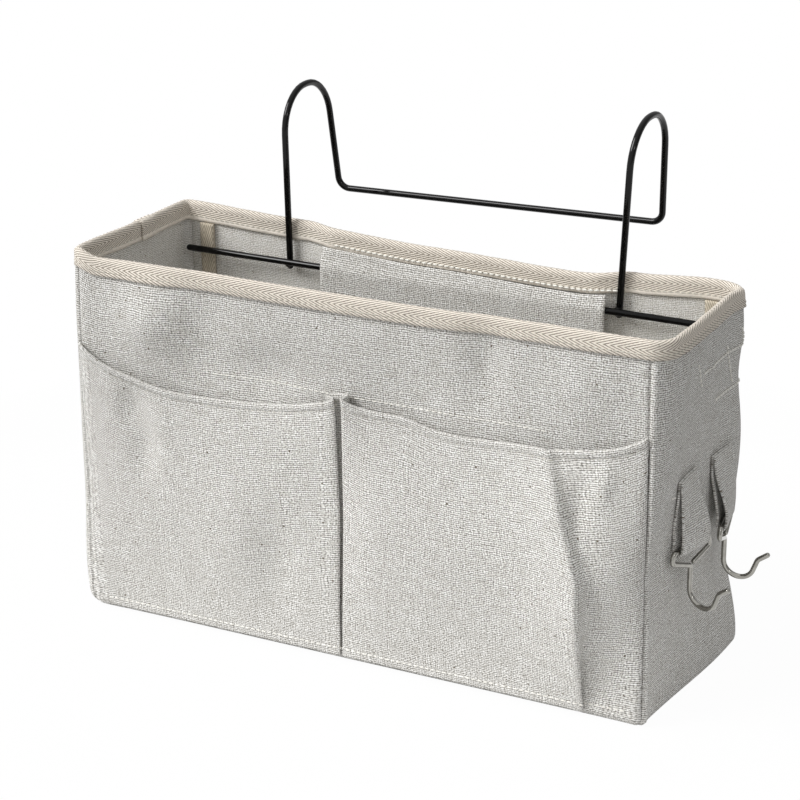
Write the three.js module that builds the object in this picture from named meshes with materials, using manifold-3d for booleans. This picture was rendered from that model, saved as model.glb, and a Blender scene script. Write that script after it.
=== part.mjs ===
// A soft linen basket that hangs from a rail on a bent wire hanger.
// Millimetres. X runs along the basket, Y from its front to its back, Z up from the base.
import * as THREE from "three";
import { mergeVertices } from "three/addons/utils/BufferGeometryUtils.js";
import Module from "manifold-3d";

const wasm = await Module();
wasm.setup();

// Basket
const LENGTH = 295;
const DEPTH = 105;
const HEIGHT = 185;
const BACK_FLARE = 4.5;
const CORNER_RADIUS = 4;
const LINEN = 1;
const LINING = 0.7;
const BOARD = 1.5;
const CLEARANCE = 0.3;

// Cotton tape
const TAPE = 0.7;
const BINDING_DROP = 10;
const SEAM_TAPE_WIDTH = 8;
const SEAM_TAPE_THICKNESS = 1.2;

// Patches sewn inside the walls
const SLEEVE_PLAY = 10;
const SLEEVE_SHIFT = 6;
const SLEEVE_TAIL = 20;
const FACING_WIDTH = 168;
const FACING_DROP = 50;
const SIDE_FACING_FRONT = 34;
const SIDE_FACING_BACK = 2;
const SIDE_FACING_DROP = 48;

// Pleated pocket strip on the front
const POCKET_HEIGHT = 140;
const POCKET_REACH = 9;
const POCKET_BELLY = 9;
const POCKET_SAG = 9;
const MIDDLE_REACH = 7.5;
const MIDDLE_SAG = 4;
const MIDDLE_GAP = 2.6;
const MIDDLE_PLEAT = 10;
const MIDDLE_PLEAT_LEFT = 0.6;
const SIDE_PLEAT = 10;
const CREASE_INSET = 25.5;
const MOUTH_CREASE_INSET = 46;
const CREASE_DRIFT = 2.2;
const FACE_FULLNESS = 2.6;
const GUSSET_HOLLOW = 1.5;

// Wire hanger
const WIRE = 2.8;
const ROD_END_PLAY = 3.5;
const ROD_DROP = 24.3;
const HANGER_PLAY = 0.5;
const UPRIGHT_SPACING = 179;
const UPRIGHT_SPLAY = 3;
const HANGER_SHIFT = 2;
const UPRIGHT_FOOT = 2;
const RAIL_GAP = 40;
const HOOK_RISE = 87;
const CROSSBAR_RISE = 28.8;
const REAR_FLARE = 8;
const REAR_LEAN = 3.2;
const CROSSBAR_BEND = 6;
const WELD_DIAMETER = 4.6;
const WELD_CLEARANCE = 0.05;

// Side hooks and the cloth tabs that hold them
const TAB_WIDTH = 21;
const TAB_TOP = 109;
const TAB_DROP = 33.5;
const TAB_GAP = 0.8;
const TAB_SEWN = 6;
const HOOK_WIRE = 2.5;
const BAR_PLAY = 0.35;
const RING_PLAY = 3;
const RING_FLARE = 1.5;
const RING_CORNER_DROP = 4.5;
const RING_DROP = 10;
const RING_BEND = 2;
const SHANK_DROP = 29;
const SHANK_BEND = 7.5;
const HOOK_REACH = 12.5;
const HOOK_BEND = 4.5;
const HOOK_LEG_RISE = 9.5;
const HOOK_LEG_LEAN = 3.5;
const HOOK_TIP_RISE = 3;
const HOOK_TIP_FLARE = 4.5;
const HOOK_TIP_BEND = 3;
const SIDE_HOOKS = [
  { name: "front", y: -16, rise: 2, yaw: THREE.MathUtils.degToRad(12) },
  { name: "rear", y: 25, rise: 0, yaw: THREE.MathUtils.degToRad(-12) },
];

// Facets
const CORNER_STEPS = 5;
const WIRE_SIDES = 10;
const BEND_STEP = THREE.MathUtils.degToRad(18);

// Sizes that follow from the ones above
const WIRE_RADIUS = WIRE / 2;
const WALL = LINEN + CLEARANCE + LINING;
const WALL_BASE = LINEN + CLEARANCE;
const WALL_TOP = HEIGHT - TAPE - CLEARANCE;
const FLOOR_TOP = WALL_BASE + BOARD + CLEARANCE + LINING;
const BINDING_INSET = WALL + CLEARANCE + TAPE;
const BINDING_BASE = HEIGHT - BINDING_DROP;
const PATCH_TOP = BINDING_BASE - CLEARANCE;
const PATCH_INSET = WALL + CLEARANCE;
const UPRIGHT_Y = DEPTH / 2 - BINDING_INSET - HANGER_PLAY - WIRE_RADIUS;
const ROD_Y = UPRIGHT_Y - WIRE - CLEARANCE;
const ROD_Z = HEIGHT - ROD_DROP;
const SLEEVE_WIDTH = UPRIGHT_SPACING - WIRE - 2 * SLEEVE_PLAY;
const SLEEVE_X = HANGER_SHIFT + SLEEVE_SHIFT;
const BAR_Z = TAB_TOP - TAB_DROP;
const LOOP_RADIUS = HOOK_WIRE / 2 + BAR_PLAY + LINEN / 2;

// The basket's plan: the back is longer than the front, so the end walls lean outwards
const END_LEAN = Math.atan2(BACK_FLARE, DEPTH);
const endWallX = (y, inset) => LENGTH / 2 + BACK_FLARE * (y / DEPTH + 0.5) - inset / Math.cos(END_LEAN);
const SEAM_Y = DEPTH / 2 - CORNER_RADIUS;
const FRONT_SEAM_X = endWallX(-SEAM_Y, CORNER_RADIUS);
const BACK_SEAM_X = endWallX(SEAM_Y, CORNER_RADIUS);
const ROD_LENGTH = 2 * (endWallX(ROD_Y, WALL) - ROD_END_PLAY);
const RIGHT_CORNERS = [
  { x: FRONT_SEAM_X, y: -SEAM_Y, from: -Math.PI / 2, to: -END_LEAN },
  { x: BACK_SEAM_X, y: SEAM_Y, from: -END_LEAN, to: Math.PI / 2 },
];
const LEFT_CORNERS = [
  { x: -BACK_SEAM_X, y: SEAM_Y, from: Math.PI / 2, to: Math.PI + END_LEAN },
  { x: -FRONT_SEAM_X, y: -SEAM_Y, from: Math.PI + END_LEAN, to: Math.PI * 1.5 },
];

const COLOURS = { linen: 0xcdc9c0, lining: 0xdcd8cf, tape: 0xe6dfcc, board: 0xb9a98c };
const cloth = (color) => new THREE.MeshStandardMaterial({ color, roughness: 0.95, metalness: 0 });
const blackPaint = () => new THREE.MeshStandardMaterial({ color: 0x141414, roughness: 0.3, metalness: 0.2 });
const nickel = () => new THREE.MeshStandardMaterial({ color: 0xb9b6ae, roughness: 0.2, metalness: 1 });

function piece(name, geometry, material) {
  const mesh = new THREE.Mesh(geometry, material);
  mesh.name = name;
  return mesh;
}

// A closed geometry as a solid that can be joined or cut, and back again
function solidOf(geometry) {
  const bare = geometry.clone();
  bare.deleteAttribute("normal");
  bare.deleteAttribute("uv");
  const merged = mergeVertices(bare);
  const vertProperties = new Float32Array(merged.attributes.position.array);
  const triVerts = new Uint32Array(merged.index.array);
  return new wasm.Manifold(new wasm.Mesh({ numProp: 3, vertProperties, triVerts }));
}

function geometryOf(solid) {
  const mesh = solid.getMesh();
  const geometry = new THREE.BufferGeometry();
  geometry.setAttribute("position", new THREE.BufferAttribute(mesh.vertProperties, mesh.numProp));
  geometry.setIndex(new THREE.BufferAttribute(mesh.triVerts, 1));
  return geometry;
}

// A closed skin over a grid of points: rows join to rows, and each row closes on itself.
// The first and last rows either join each other or are closed by strips between their two halves.
function skin(rows, joinEnds) {
  const count = rows[0].length;
  const positions = rows.flat().flatMap((point) => point.toArray());
  const index = [];
  const quad = (a, b, c, d) => index.push(a, b, c, a, c, d);
  const lastRow = joinEnds ? rows.length : rows.length - 1;
  for (let row = 0; row < lastRow; row += 1) {
    const here = row * count;
    const there = ((row + 1) % rows.length) * count;
    for (let column = 0; column < count; column += 1) {
      const next = (column + 1) % count;
      quad(here + column, here + next, there + next, there + column);
    }
  }
  if (!joinEnds) {
    const top = (rows.length - 1) * count;
    for (let column = 0; column < count / 2 - 1; column += 1) {
      const mirror = count - 1 - column;
      quad(mirror, mirror - 1, column + 1, column);
      quad(top + column, top + column + 1, top + mirror - 1, top + mirror);
    }
  }
  const geometry = new THREE.BufferGeometry();
  geometry.setAttribute("position", new THREE.Float32BufferAttribute(positions, 3));
  geometry.setIndex(index);
  return geometry;
}

// The two sides of a strip of cloth drawn along a line in a plane, as one closed outline
function stripOutline(line, thickness) {
  const sides = [[], []];
  line.forEach((point, index) => {
    const before = line[Math.max(index - 1, 0)];
    const after = line[Math.min(index + 1, line.length - 1)];
    const along = after.clone().sub(before).normalize();
    const across = new THREE.Vector2(-along.y, along.x).multiplyScalar(thickness / 2);
    sides[0].push(point.clone().sub(across));
    sides[1].unshift(point.clone().add(across));
  });
  return sides.flat();
}

// Plan of the basket, drawn in from its outer face by an inset
function basketPlan(inset) {
  const plan = new THREE.Shape();
  for (const { x, y, from, to } of [...RIGHT_CORNERS, ...LEFT_CORNERS]) {
    plan.absarc(x, y, CORNER_RADIUS - inset, from, to, false);
  }
  plan.closePath();
  return plan;
}

// Plan of an end wall, which turns both its corners and meets the long walls at their seams
function endWallPlan(corners, inset, thickness) {
  const plan = new THREE.Shape();
  for (const { x, y, from, to } of corners) {
    plan.absarc(x, y, CORNER_RADIUS - inset, from, to, false);
  }
  for (const { x, y, from, to } of corners.toReversed()) {
    plan.absarc(x, y, CORNER_RADIUS - inset - thickness, to, from, true);
  }
  plan.closePath();
  return plan;
}

function raised(plan, base, top) {
  const options = { depth: top - base, bevelEnabled: false, curveSegments: CORNER_STEPS };
  return new THREE.ExtrudeGeometry(plan, options).translate(0, 0, base);
}

// A layer of the walls: two flat long walls and two end walls that turn the corners
function wallLayer(kind, color, inset, thickness) {
  const layer = new THREE.Group();
  const height = WALL_TOP - WALL_BASE;
  const y = DEPTH / 2 - inset - thickness / 2;
  for (const [name, side, seam] of [["front", -1, FRONT_SEAM_X], ["back", 1, BACK_SEAM_X]]) {
    const sheet = new THREE.BoxGeometry(2 * (seam - CLEARANCE), thickness, height);
    const wall = piece(`${name}_${kind}`, sheet, cloth(color));
    wall.position.set(0, side * y, WALL_BASE + height / 2);
    layer.add(wall);
  }
  for (const [name, corners] of [["right", RIGHT_CORNERS], ["left", LEFT_CORNERS]]) {
    const plan = endWallPlan(corners, inset, thickness);
    layer.add(piece(`${name}_${kind}`, raised(plan, WALL_BASE, WALL_TOP), cloth(color)));
  }
  return layer;
}

function base() {
  const boardBase = WALL_BASE;
  const liningBase = boardBase + BOARD + CLEARANCE;
  const inside = basketPlan(PATCH_INSET);
  const group = new THREE.Group();
  group.add(piece("bottom_panel", raised(basketPlan(0), 0, LINEN), cloth(COLOURS.linen)));
  group.add(piece("base_board", raised(inside, boardBase, boardBase + BOARD), cloth(COLOURS.board)));
  group.add(piece("bottom_lining", raised(inside, liningBase, FLOOR_TOP), cloth(COLOURS.lining)));
  return group;
}

// Tape folded over the rim: a section with a rounded crest, carried round the plan
function rimBinding() {
  const outer = -CLEARANCE - TAPE;
  const crestRadius = (BINDING_INSET - outer) / 2;
  const crestSteps = 6;
  const section = [[outer, BINDING_BASE]];
  for (let step = 0; step <= crestSteps; step += 1) {
    const angle = Math.PI * (1 - step / crestSteps);
    const across = outer + crestRadius * (1 + Math.cos(angle));
    section.push([across, HEIGHT - TAPE + TAPE * Math.sin(angle)]);
  }
  section.push([BINDING_INSET, BINDING_BASE]);
  section.push([BINDING_INSET - TAPE, BINDING_BASE]);
  section.push([BINDING_INSET - TAPE, HEIGHT - TAPE]);
  section.push([-CLEARANCE, HEIGHT - TAPE]);
  section.push([-CLEARANCE, BINDING_BASE]);
  const loops = section.map(([inset, z]) => {
    const outline = basketPlan(inset).extractPoints(CORNER_STEPS).shape;
    return outline.map(({ x, y }) => new THREE.Vector3(x, y, z));
  });
  return piece("rim_binding", skin(loops, true), cloth(COLOURS.tape));
}

// Tape that binds the seam allowance beside each inner corner
function cornerTapes() {
  const group = new THREE.Group();
  const height = PATCH_TOP - FLOOR_TOP - CLEARANCE;
  const y = DEPTH / 2 - PATCH_INSET - SEAM_TAPE_THICKNESS / 2;
  const size = [SEAM_TAPE_WIDTH, SEAM_TAPE_THICKNESS, height];
  for (const [row, sideY, seam] of [["front", -1, FRONT_SEAM_X], ["back", 1, BACK_SEAM_X]]) {
    const x = seam - CLEARANCE - SEAM_TAPE_WIDTH / 2;
    for (const [end, sideX] of [["left", -1], ["right", 1]]) {
      const tape = piece(`corner_tape_${row}_${end}`, new THREE.BoxGeometry(...size), cloth(COLOURS.tape));
      tape.position.set(sideX * x, sideY * y, PATCH_TOP - height / 2);
      group.add(tape);
    }
  }
  return group;
}

// A section drawn across (Y, Z) and carried along X
function carriedAlongX(outline, width, centre) {
  const turn = new THREE.Matrix4().makeBasis(
    new THREE.Vector3(0, 1, 0),
    new THREE.Vector3(0, 0, 1),
    new THREE.Vector3(1, 0, 0),
  );
  const options = { depth: width, bevelEnabled: false };
  const geometry = new THREE.ExtrudeGeometry(new THREE.Shape(outline), options);
  return geometry.applyMatrix4(turn).translate(centre - width / 2, 0, 0);
}

// Patch on the back wall that leaves the wall to pass in front of the rod and is sewn down below it
function rodSleeve() {
  const onWall = DEPTH / 2 - PATCH_INSET - LINEN / 2;
  const inFront = ROD_Y - WIRE_RADIUS - CLEARANCE - LINEN / 2;
  const stitch = ROD_Z - WIRE_RADIUS - CLEARANCE - LINEN;
  const half = (onWall + inFront) / 2;
  const bendSteps = 4;
  const line = rounded([
    new THREE.Vector2(onWall, PATCH_TOP),
    new THREE.Vector2(onWall, PATCH_TOP - WIRE),
    new THREE.Vector2(half, ROD_Z + 2 * WIRE),
    new THREE.Vector2(inFront, ROD_Z + WIRE_RADIUS),
    new THREE.Vector2(inFront, ROD_Z - WIRE_RADIUS),
    new THREE.Vector2(half, stitch - WIRE_RADIUS / 2),
    new THREE.Vector2(onWall, stitch - WIRE),
    new THREE.Vector2(onWall, stitch - SLEEVE_TAIL),
  ], bendSteps);
  const outline = stripOutline(line, LINEN);
  return piece("rod_sleeve", carriedAlongX(outline, SLEEVE_WIDTH, SLEEVE_X), cloth(COLOURS.linen));
}

function frontFacing() {
  const height = FACING_DROP - BINDING_DROP;
  const patch = new THREE.BoxGeometry(FACING_WIDTH, LINEN, height);
  const facing = piece("front_facing", patch, cloth(COLOURS.linen));
  facing.position.set(SLEEVE_X, -(DEPTH / 2 - PATCH_INSET - LINEN / 2), PATCH_TOP - height / 2);
  return facing;
}

// Placed on the right wall, whose outer face is x = 0
function sideFacing() {
  const height = SIDE_FACING_DROP - BINDING_DROP;
  const front = SIDE_FACING_FRONT - SEAM_Y;
  const back = SEAM_Y - SIDE_FACING_BACK;
  const patch = new THREE.BoxGeometry(LINEN, back - front, height);
  const facing = piece("side_facing", patch, cloth(COLOURS.linen));
  facing.position.set(-PATCH_INSET - LINEN / 2, (front + back) / 2, PATCH_TOP - height / 2);
  return facing;
}

// Half of the pocket strip in plan, from the middle to the end seam, at the base and at the mouth.
// At the base the pleats lie folded flat in three layers; at the mouth they are drawn open, close to
// the wall. Between the two the cloth bellies out, most at the crease of the side pleat.
function pocketHalf(open) {
  const layer = LINEN + CLEARANCE;
  const back = DEPTH / 2 + CLEARANCE + LINEN / 2;
  const seam = FRONT_SEAM_X;
  const crease = LENGTH / 2 - CREASE_INSET;
  const mouthCrease = LENGTH / 2 - MOUTH_CREASE_INSET;
  const fold = MIDDLE_GAP / 2 + LINEN / 2;
  const pleat = MIDDLE_PLEAT * MIDDLE_PLEAT_LEFT;
  const face = (share) => THREE.MathUtils.lerp(POCKET_REACH, MIDDLE_REACH, (1 - share) ** FACE_FULLNESS);
  const gusset = (share) => POCKET_REACH * Math.cos(share * Math.PI / 2) ** GUSSET_HOLLOW;
  const quarters = [0.25, 0.5, 0.75];
  const fullness = [0, 0, 0.05, 0.1, 0.2, 0.5, 0.75, 0.9, 1, 0.65, 0.35, 0.12, 0];
  const belly = POCKET_BELLY * Math.sin(Math.PI * open);
  const base = [
    [0, 0],
    [MIDDLE_PLEAT, 0],
    [MIDDLE_PLEAT, layer],
    [fold, layer],
    [fold, 2 * layer],
    ...quarters.map((share) => [crease * share, 2 * layer]),
    [crease, 2 * layer],
    [crease, layer],
    [crease - SIDE_PLEAT, layer],
    [crease - SIDE_PLEAT, 0],
    [seam, 0],
  ];
  const mouth = [
    [0, 0],
    [pleat, 0],
    [pleat, MIDDLE_REACH / 4],
    [fold, MIDDLE_REACH / 2],
    [fold, MIDDLE_REACH],
    ...quarters.map((share) => [mouthCrease * share, face(share)]),
    [mouthCrease, POCKET_REACH],
    ...quarters.map((share) => [THREE.MathUtils.lerp(mouthCrease, seam, share), gusset(share)]),
    [seam, 0],
  ];
  return base.map(([x, out], index) => {
    const across = THREE.MathUtils.lerp(x, mouth[index][0], open ** CREASE_DRIFT);
    const forward = THREE.MathUtils.lerp(out, mouth[index][1], open) + belly * fullness[index];
    return new THREE.Vector2(across, -back - forward);
  });
}

// A smooth line drawn by control points, rounded between the middles of its legs
function rounded(controls, steps) {
  const line = [controls[0]];
  for (let index = 1; index < controls.length - 1; index += 1) {
    const first = index === 1;
    const last = index === controls.length - 2;
    const start = first ? controls[0] : controls[index - 1].clone().lerp(controls[index], 0.5);
    const end = last ? controls[index + 1] : controls[index].clone().lerp(controls[index + 1], 0.5);
    const bend = new THREE.QuadraticBezierCurve(start, controls[index], end);
    line.push(...bend.getPoints(steps).slice(1));
  }
  return line;
}

// One strip with a box pleat in the middle and a side pleat near each end, sewn at its ends and base
function pocketPanel() {
  const levels = 9;
  const bendSteps = 3;
  const rows = [];
  for (let level = 0; level <= levels; level += 1) {
    const open = level / levels;
    const half = pocketHalf(open);
    const mirrored = half.slice(1).reverse().map(({ x, y }) => new THREE.Vector2(-x, y));
    const line = rounded([...mirrored, ...half], bendSteps);
    const outline = stripOutline(line, LINEN);
    rows.push(outline.map(({ x, y }) => {
      const turn = Math.PI * Math.abs(x) / FRONT_SEAM_X;
      const sag = MIDDLE_SAG * Math.cos(turn / 2) + POCKET_SAG * Math.sin(turn) ** 2;
      return new THREE.Vector3(x, y, WALL_BASE + (POCKET_HEIGHT - sag - WALL_BASE) * open);
    }));
  }
  return piece("pocket_panel", skin(rows, false), cloth(COLOURS.linen));
}

// The centre line of a bent wire: straight runs between corners, each turned on its own radius
class BentWire extends THREE.Curve {
  constructor(corners) {
    super();
    this.stations = [];
    corners.forEach((corner, index) => {
      const before = corners[index - 1];
      const after = corners[index + 1];
      if (!before || !after) {
        const ahead = after ? after.point.clone().sub(corner.point) : corner.point.clone().sub(before.point);
        this.addStation(corner.point, ahead.normalize());
        return;
      }
      this.addBend(before.point, corner, after.point);
    });
  }

  addStation(point, tangent) {
    const last = this.stations.at(-1);
    const apart = last ? last.point.distanceTo(point) : Infinity;
    if (apart > CLEARANCE) {
      this.stations.push({ point, tangent });
    }
  }

  addBend(before, { point, radius }, after) {
    const ahead = point.clone().sub(before).normalize();
    const leaving = after.clone().sub(point).normalize();
    const turn = ahead.angleTo(leaving);
    const axis = ahead.clone().cross(leaving).normalize();
    const start = point.clone().addScaledVector(ahead, -radius * Math.tan(turn / 2));
    const centre = start.clone().addScaledVector(axis.clone().cross(ahead), radius);
    const arm = start.clone().sub(centre);
    const steps = Math.max(2, Math.ceil(turn / BEND_STEP));
    for (let step = 0; step <= steps; step += 1) {
      const angle = turn * step / steps;
      const around = arm.clone().applyAxisAngle(axis, angle).add(centre);
      this.addStation(around, ahead.clone().applyAxisAngle(axis, angle));
    }
  }

  stationAt(share) {
    return this.stations[Math.round(share * (this.stations.length - 1))];
  }

  getPointAt(share, target = new THREE.Vector3()) {
    return target.copy(this.stationAt(share).point);
  }

  getTangentAt(share, target = new THREE.Vector3()) {
    return target.copy(this.stationAt(share).tangent);
  }
}

function wireSection(diameter) {
  const points = [];
  for (let side = 0; side < WIRE_SIDES; side += 1) {
    const angle = 2 * Math.PI * side / WIRE_SIDES;
    points.push(new THREE.Vector2(Math.cos(angle), Math.sin(angle)).multiplyScalar(diameter / 2));
  }
  return new THREE.Shape(points);
}

function bentWire(corners, diameter) {
  const path = new BentWire(corners);
  const options = { steps: path.stations.length - 1, extrudePath: path, bevelEnabled: false };
  return new THREE.ExtrudeGeometry(wireSection(diameter), options);
}

const corner = (x, y, z, radius = 0) => ({ point: new THREE.Vector3(x, y, z), radius });

// One wire from foot to foot: up, over the rail, down behind it and across
function hangerWire(diameter) {
  const arch = (RAIL_GAP + WIRE) / 2;
  const top = ROD_Z + HOOK_RISE;
  const rear = UPRIGHT_Y + 2 * arch;
  const crossbar = ROD_Z + CROSSBAR_RISE;
  const side = (sign) => {
    const foot = HANGER_SHIFT + sign * UPRIGHT_SPACING / 2;
    const arm = foot + sign * UPRIGHT_SPLAY;
    return [
      corner(foot, UPRIGHT_Y, ROD_Z - UPRIGHT_FOOT),
      corner(arm, UPRIGHT_Y, top, arch),
      corner(arm, rear, top, arch),
      corner(arm - sign * REAR_LEAN, rear + REAR_FLARE, crossbar, CROSSBAR_BEND),
    ];
  };
  return bentWire([...side(-1), ...side(1).reverse()], diameter);
}

function carrierRod(diameter) {
  const rod = new THREE.CylinderGeometry(diameter / 2, diameter / 2, ROD_LENGTH, WIRE_SIDES);
  return rod.rotateZ(Math.PI / 2).translate(0, ROD_Y, ROD_Z);
}

// Each weld fills the corner between rod and upright, cut clear of both
function weld(sign) {
  const bead = new THREE.SphereGeometry(WELD_DIAMETER / 2, 2 * WIRE_SIDES, WIRE_SIDES);
  bead.translate(HANGER_SHIFT + sign * UPRIGHT_SPACING / 2, (ROD_Y + UPRIGHT_Y) / 2, ROD_Z);
  const room = WIRE + 2 * WELD_CLEARANCE;
  const solid = solidOf(bead).subtract(solidOf(carrierRod(room))).subtract(solidOf(hangerWire(room)));
  return geometryOf(solid);
}

function hanger() {
  const group = new THREE.Group();
  group.add(piece("hanger_wire", hangerWire(WIRE), blackPaint()));
  group.add(piece("carrier_rod", carrierRod(WIRE), blackPaint()));
  group.add(piece("left_weld", weld(-1), blackPaint()));
  group.add(piece("right_weld", weld(1), blackPaint()));
  return group;
}

// How far the hook's bar stands off the panel, so that the turned loop clears it
const standoff = (yaw) => TAB_GAP + LINEN / 2 + LOOP_RADIUS + Math.abs(Math.tan(yaw)) * TAB_WIDTH / 2;

// A strap folded round the hook's bar and sewn flat on the panel, drawn as a line away from the panel.
// The loop hangs clear of the panel and turns with the bar that it holds.
function hookTab({ name, y, rise, yaw }) {
  const back = CLEARANCE + LINEN / 2;
  const front = back + LINEN + CLEARANCE;
  const sewn = TAB_TOP - TAB_SEWN;
  const loopSteps = 8;
  const line = [new THREE.Vector2(back, TAB_TOP), new THREE.Vector2(back, sewn)];
  for (let step = 0; step <= loopSteps; step += 1) {
    const angle = Math.PI * (1 + step / loopSteps);
    const around = new THREE.Vector2(Math.cos(angle), Math.sin(angle)).multiplyScalar(LOOP_RADIUS);
    line.push(around.add(new THREE.Vector2(standoff(yaw), BAR_Z)));
  }
  line.push(new THREE.Vector2(front, sewn), new THREE.Vector2(front, TAB_TOP));
  const outline = new THREE.Shape(stripOutline(line, LINEN));
  const strap = new THREE.ExtrudeGeometry(outline, { depth: TAB_WIDTH, bevelEnabled: false });
  strap.translate(0, 0, -TAB_WIDTH / 2).rotateX(Math.PI / 2);
  const points = strap.attributes.position;
  const turned = BAR_Z + 2 * LOOP_RADIUS;
  for (let index = 0; index < points.count; index += 1) {
    const share = THREE.MathUtils.clamp((sewn - points.getZ(index)) / (sewn - turned), 0, 1);
    points.setX(index, points.getX(index) + share * Math.tan(yaw) * points.getY(index));
  }
  strap.translate(0, y, rise);
  return piece(`${name}_hook_tab`, strap, cloth(COLOURS.linen));
}

// One wire: the ring round its bar, down the shank and out into the hook, whose tip turns outwards
function sideHook({ name, y, rise, yaw }) {
  const bar = TAB_WIDTH / 2 + RING_PLAY;
  const side = bar + RING_FLARE;
  const legX = HOOK_REACH + HOOK_LEG_LEAN;
  const legZ = HOOK_LEG_RISE - SHANK_DROP;
  const corners = [
    corner(0, HOOK_WIRE + 2 * CLEARANCE, HOOK_WIRE / 2 - RING_DROP),
    corner(0, side, -RING_CORNER_DROP, RING_BEND),
    corner(0, bar, 0, RING_BEND),
    corner(0, -bar, 0, RING_BEND),
    corner(0, -side, -RING_CORNER_DROP, RING_BEND),
    corner(0, 0, -RING_DROP, RING_BEND),
    corner(0, 0, -SHANK_DROP, SHANK_BEND),
    corner(HOOK_REACH, 0, -SHANK_DROP, HOOK_BEND),
    corner(legX, 0, legZ, HOOK_TIP_BEND),
    corner(legX + HOOK_TIP_FLARE, 0, legZ + HOOK_TIP_RISE),
  ];
  const hook = piece(`${name}_side_hook`, bentWire(corners, HOOK_WIRE), nickel());
  hook.position.set(standoff(yaw), y, BAR_Z + rise);
  hook.rotation.z = -yaw;
  return hook;
}

const rightWall = new THREE.Group();
rightWall.position.x = endWallX(0, 0);
rightWall.rotation.z = -END_LEAN;
rightWall.add(sideFacing());
for (const place of SIDE_HOOKS) {
  rightWall.add(hookTab(place), sideHook(place));
}

const basket = new THREE.Group();
basket.add(wallLayer("panel", COLOURS.linen, 0, LINEN));
basket.add(wallLayer("lining", COLOURS.lining, LINEN + CLEARANCE, LINING));
basket.add(base(), rimBinding(), cornerTapes(), rodSleeve(), frontFacing(), pocketPanel());
basket.add(rightWall, hanger());

export default basket;
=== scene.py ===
# %% [markdown]
# # A linen basket for a rail
# A soft basket of linen and cotton cloth, lined, bound with herringbone tape and hung from a rail by a bent
# black wire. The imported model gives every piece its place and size. What is left for Blender is the cloth:
# walls that bulge and pinch, pleats, hems, rows of stitches, and a weave that follows each cut of cloth.

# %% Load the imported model
import math
from bisect import bisect_right
from collections import namedtuple
from functools import lru_cache

import bmesh
import bpy
from mathutils import Matrix, Vector, noise


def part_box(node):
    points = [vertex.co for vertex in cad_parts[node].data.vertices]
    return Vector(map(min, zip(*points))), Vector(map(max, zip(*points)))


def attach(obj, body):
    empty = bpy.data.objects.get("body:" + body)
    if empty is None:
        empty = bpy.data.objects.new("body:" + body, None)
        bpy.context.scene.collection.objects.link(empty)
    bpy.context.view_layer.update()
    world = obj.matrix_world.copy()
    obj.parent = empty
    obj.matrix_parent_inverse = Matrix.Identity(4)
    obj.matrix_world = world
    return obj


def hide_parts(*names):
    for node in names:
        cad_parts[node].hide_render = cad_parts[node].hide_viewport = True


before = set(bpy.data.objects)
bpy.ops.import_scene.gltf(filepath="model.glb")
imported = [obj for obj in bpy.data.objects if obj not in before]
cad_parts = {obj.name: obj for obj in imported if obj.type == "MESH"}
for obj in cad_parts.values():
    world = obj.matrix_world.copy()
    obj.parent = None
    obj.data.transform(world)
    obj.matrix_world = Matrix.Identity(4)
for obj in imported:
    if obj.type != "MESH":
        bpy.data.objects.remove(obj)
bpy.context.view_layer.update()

MM = 0.001

# %% [markdown]
# ## Camera
# The picture was taken from the front and a little to the right, from above the rim. The camera's place was
# worked out from the corners of the basket, so the lens is long and the frame is shifted only a little.

# %% Camera
IMAGE = 800
FOCAL_PIXELS = 2308.46
AXIS_PIXEL = (401.74, 392.94)
AZIMUTH = math.radians(27.1609)
ELEVATION = math.radians(20.2564)
ROLL = math.radians(-0.2969)
DISTANCE = 1.10644
TARGET = Vector((0, 0, 0.12))

back = Vector((
    math.sin(AZIMUTH) * math.cos(ELEVATION),
    -math.cos(AZIMUTH) * math.cos(ELEVATION),
    math.sin(ELEVATION),
))
level = Vector((math.cos(AZIMUTH), math.sin(AZIMUTH), 0))
right = level * math.cos(ROLL) + back.cross(level) * math.sin(ROLL)
camera_data = bpy.data.cameras.new("camera")
camera_data.sensor_width = 36
camera_data.lens = FOCAL_PIXELS / IMAGE * camera_data.sensor_width
camera_data.shift_x = (IMAGE / 2 - AXIS_PIXEL[0]) / IMAGE
camera_data.shift_y = (AXIS_PIXEL[1] - IMAGE / 2) / IMAGE
camera = bpy.data.objects.new("camera", camera_data)
turn = Matrix((right, back.cross(right), back)).transposed()
camera.matrix_world = Matrix.LocRotScale(TARGET + back * DISTANCE, turn, None)
bpy.context.scene.collection.objects.link(camera)
bpy.context.scene.camera = camera
print("camera at", [round(x, 3) for x in camera.location], "lens", round(camera_data.lens, 1), "mm")

# %% [markdown]
# ## Colours and nodes
# A colour is written as a screen shows it, and a shader wants light, so one function turns hex into linear
# light. One more adds a node with its settings and its links, and a few short ones name the nodes that come
# up most. Every finish below is made with these.

# %% Helpers for finishes
def linear(hex_colour):
    """An sRGB hex colour as linear red, green, blue and alpha."""
    shares = [int(hex_colour[place:place + 2], 16) / 255 for place in (1, 3, 5)]
    return [c / 12.92 if c <= 0.04045 else ((c + 0.055) / 1.055) ** 2.4 for c in shares] + [1.0]


def add(tree, kind, links, **settings):
    """A node with its settings; a link is a socket and a value, an output, or a node for its first output."""
    made = tree.nodes.new("ShaderNode" + kind)
    for name, value in settings.items():
        setattr(made, name, value)
    for socket, value in links.items():
        source = value.outputs[0] if isinstance(value, bpy.types.Node) else value
        if isinstance(source, bpy.types.NodeSocket):
            tree.links.new(source, made.inputs[socket])
        else:
            made.inputs[socket].default_value = source
    return made


def number(tree, operation, *values):
    """A number worked out from others."""
    return add(tree, "Math", dict(enumerate(values)), operation=operation)


def vector(tree, operation, *values):
    """The same for places and directions."""
    return add(tree, "VectorMath", dict(enumerate(values)), operation=operation)


def speckle(tree, place, scale, detail):
    """Soft noise over flat cloth."""
    return add(tree, "TexNoise", {"Vector": place, "Scale": scale, "Detail": detail}, noise_dimensions="2D")


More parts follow.
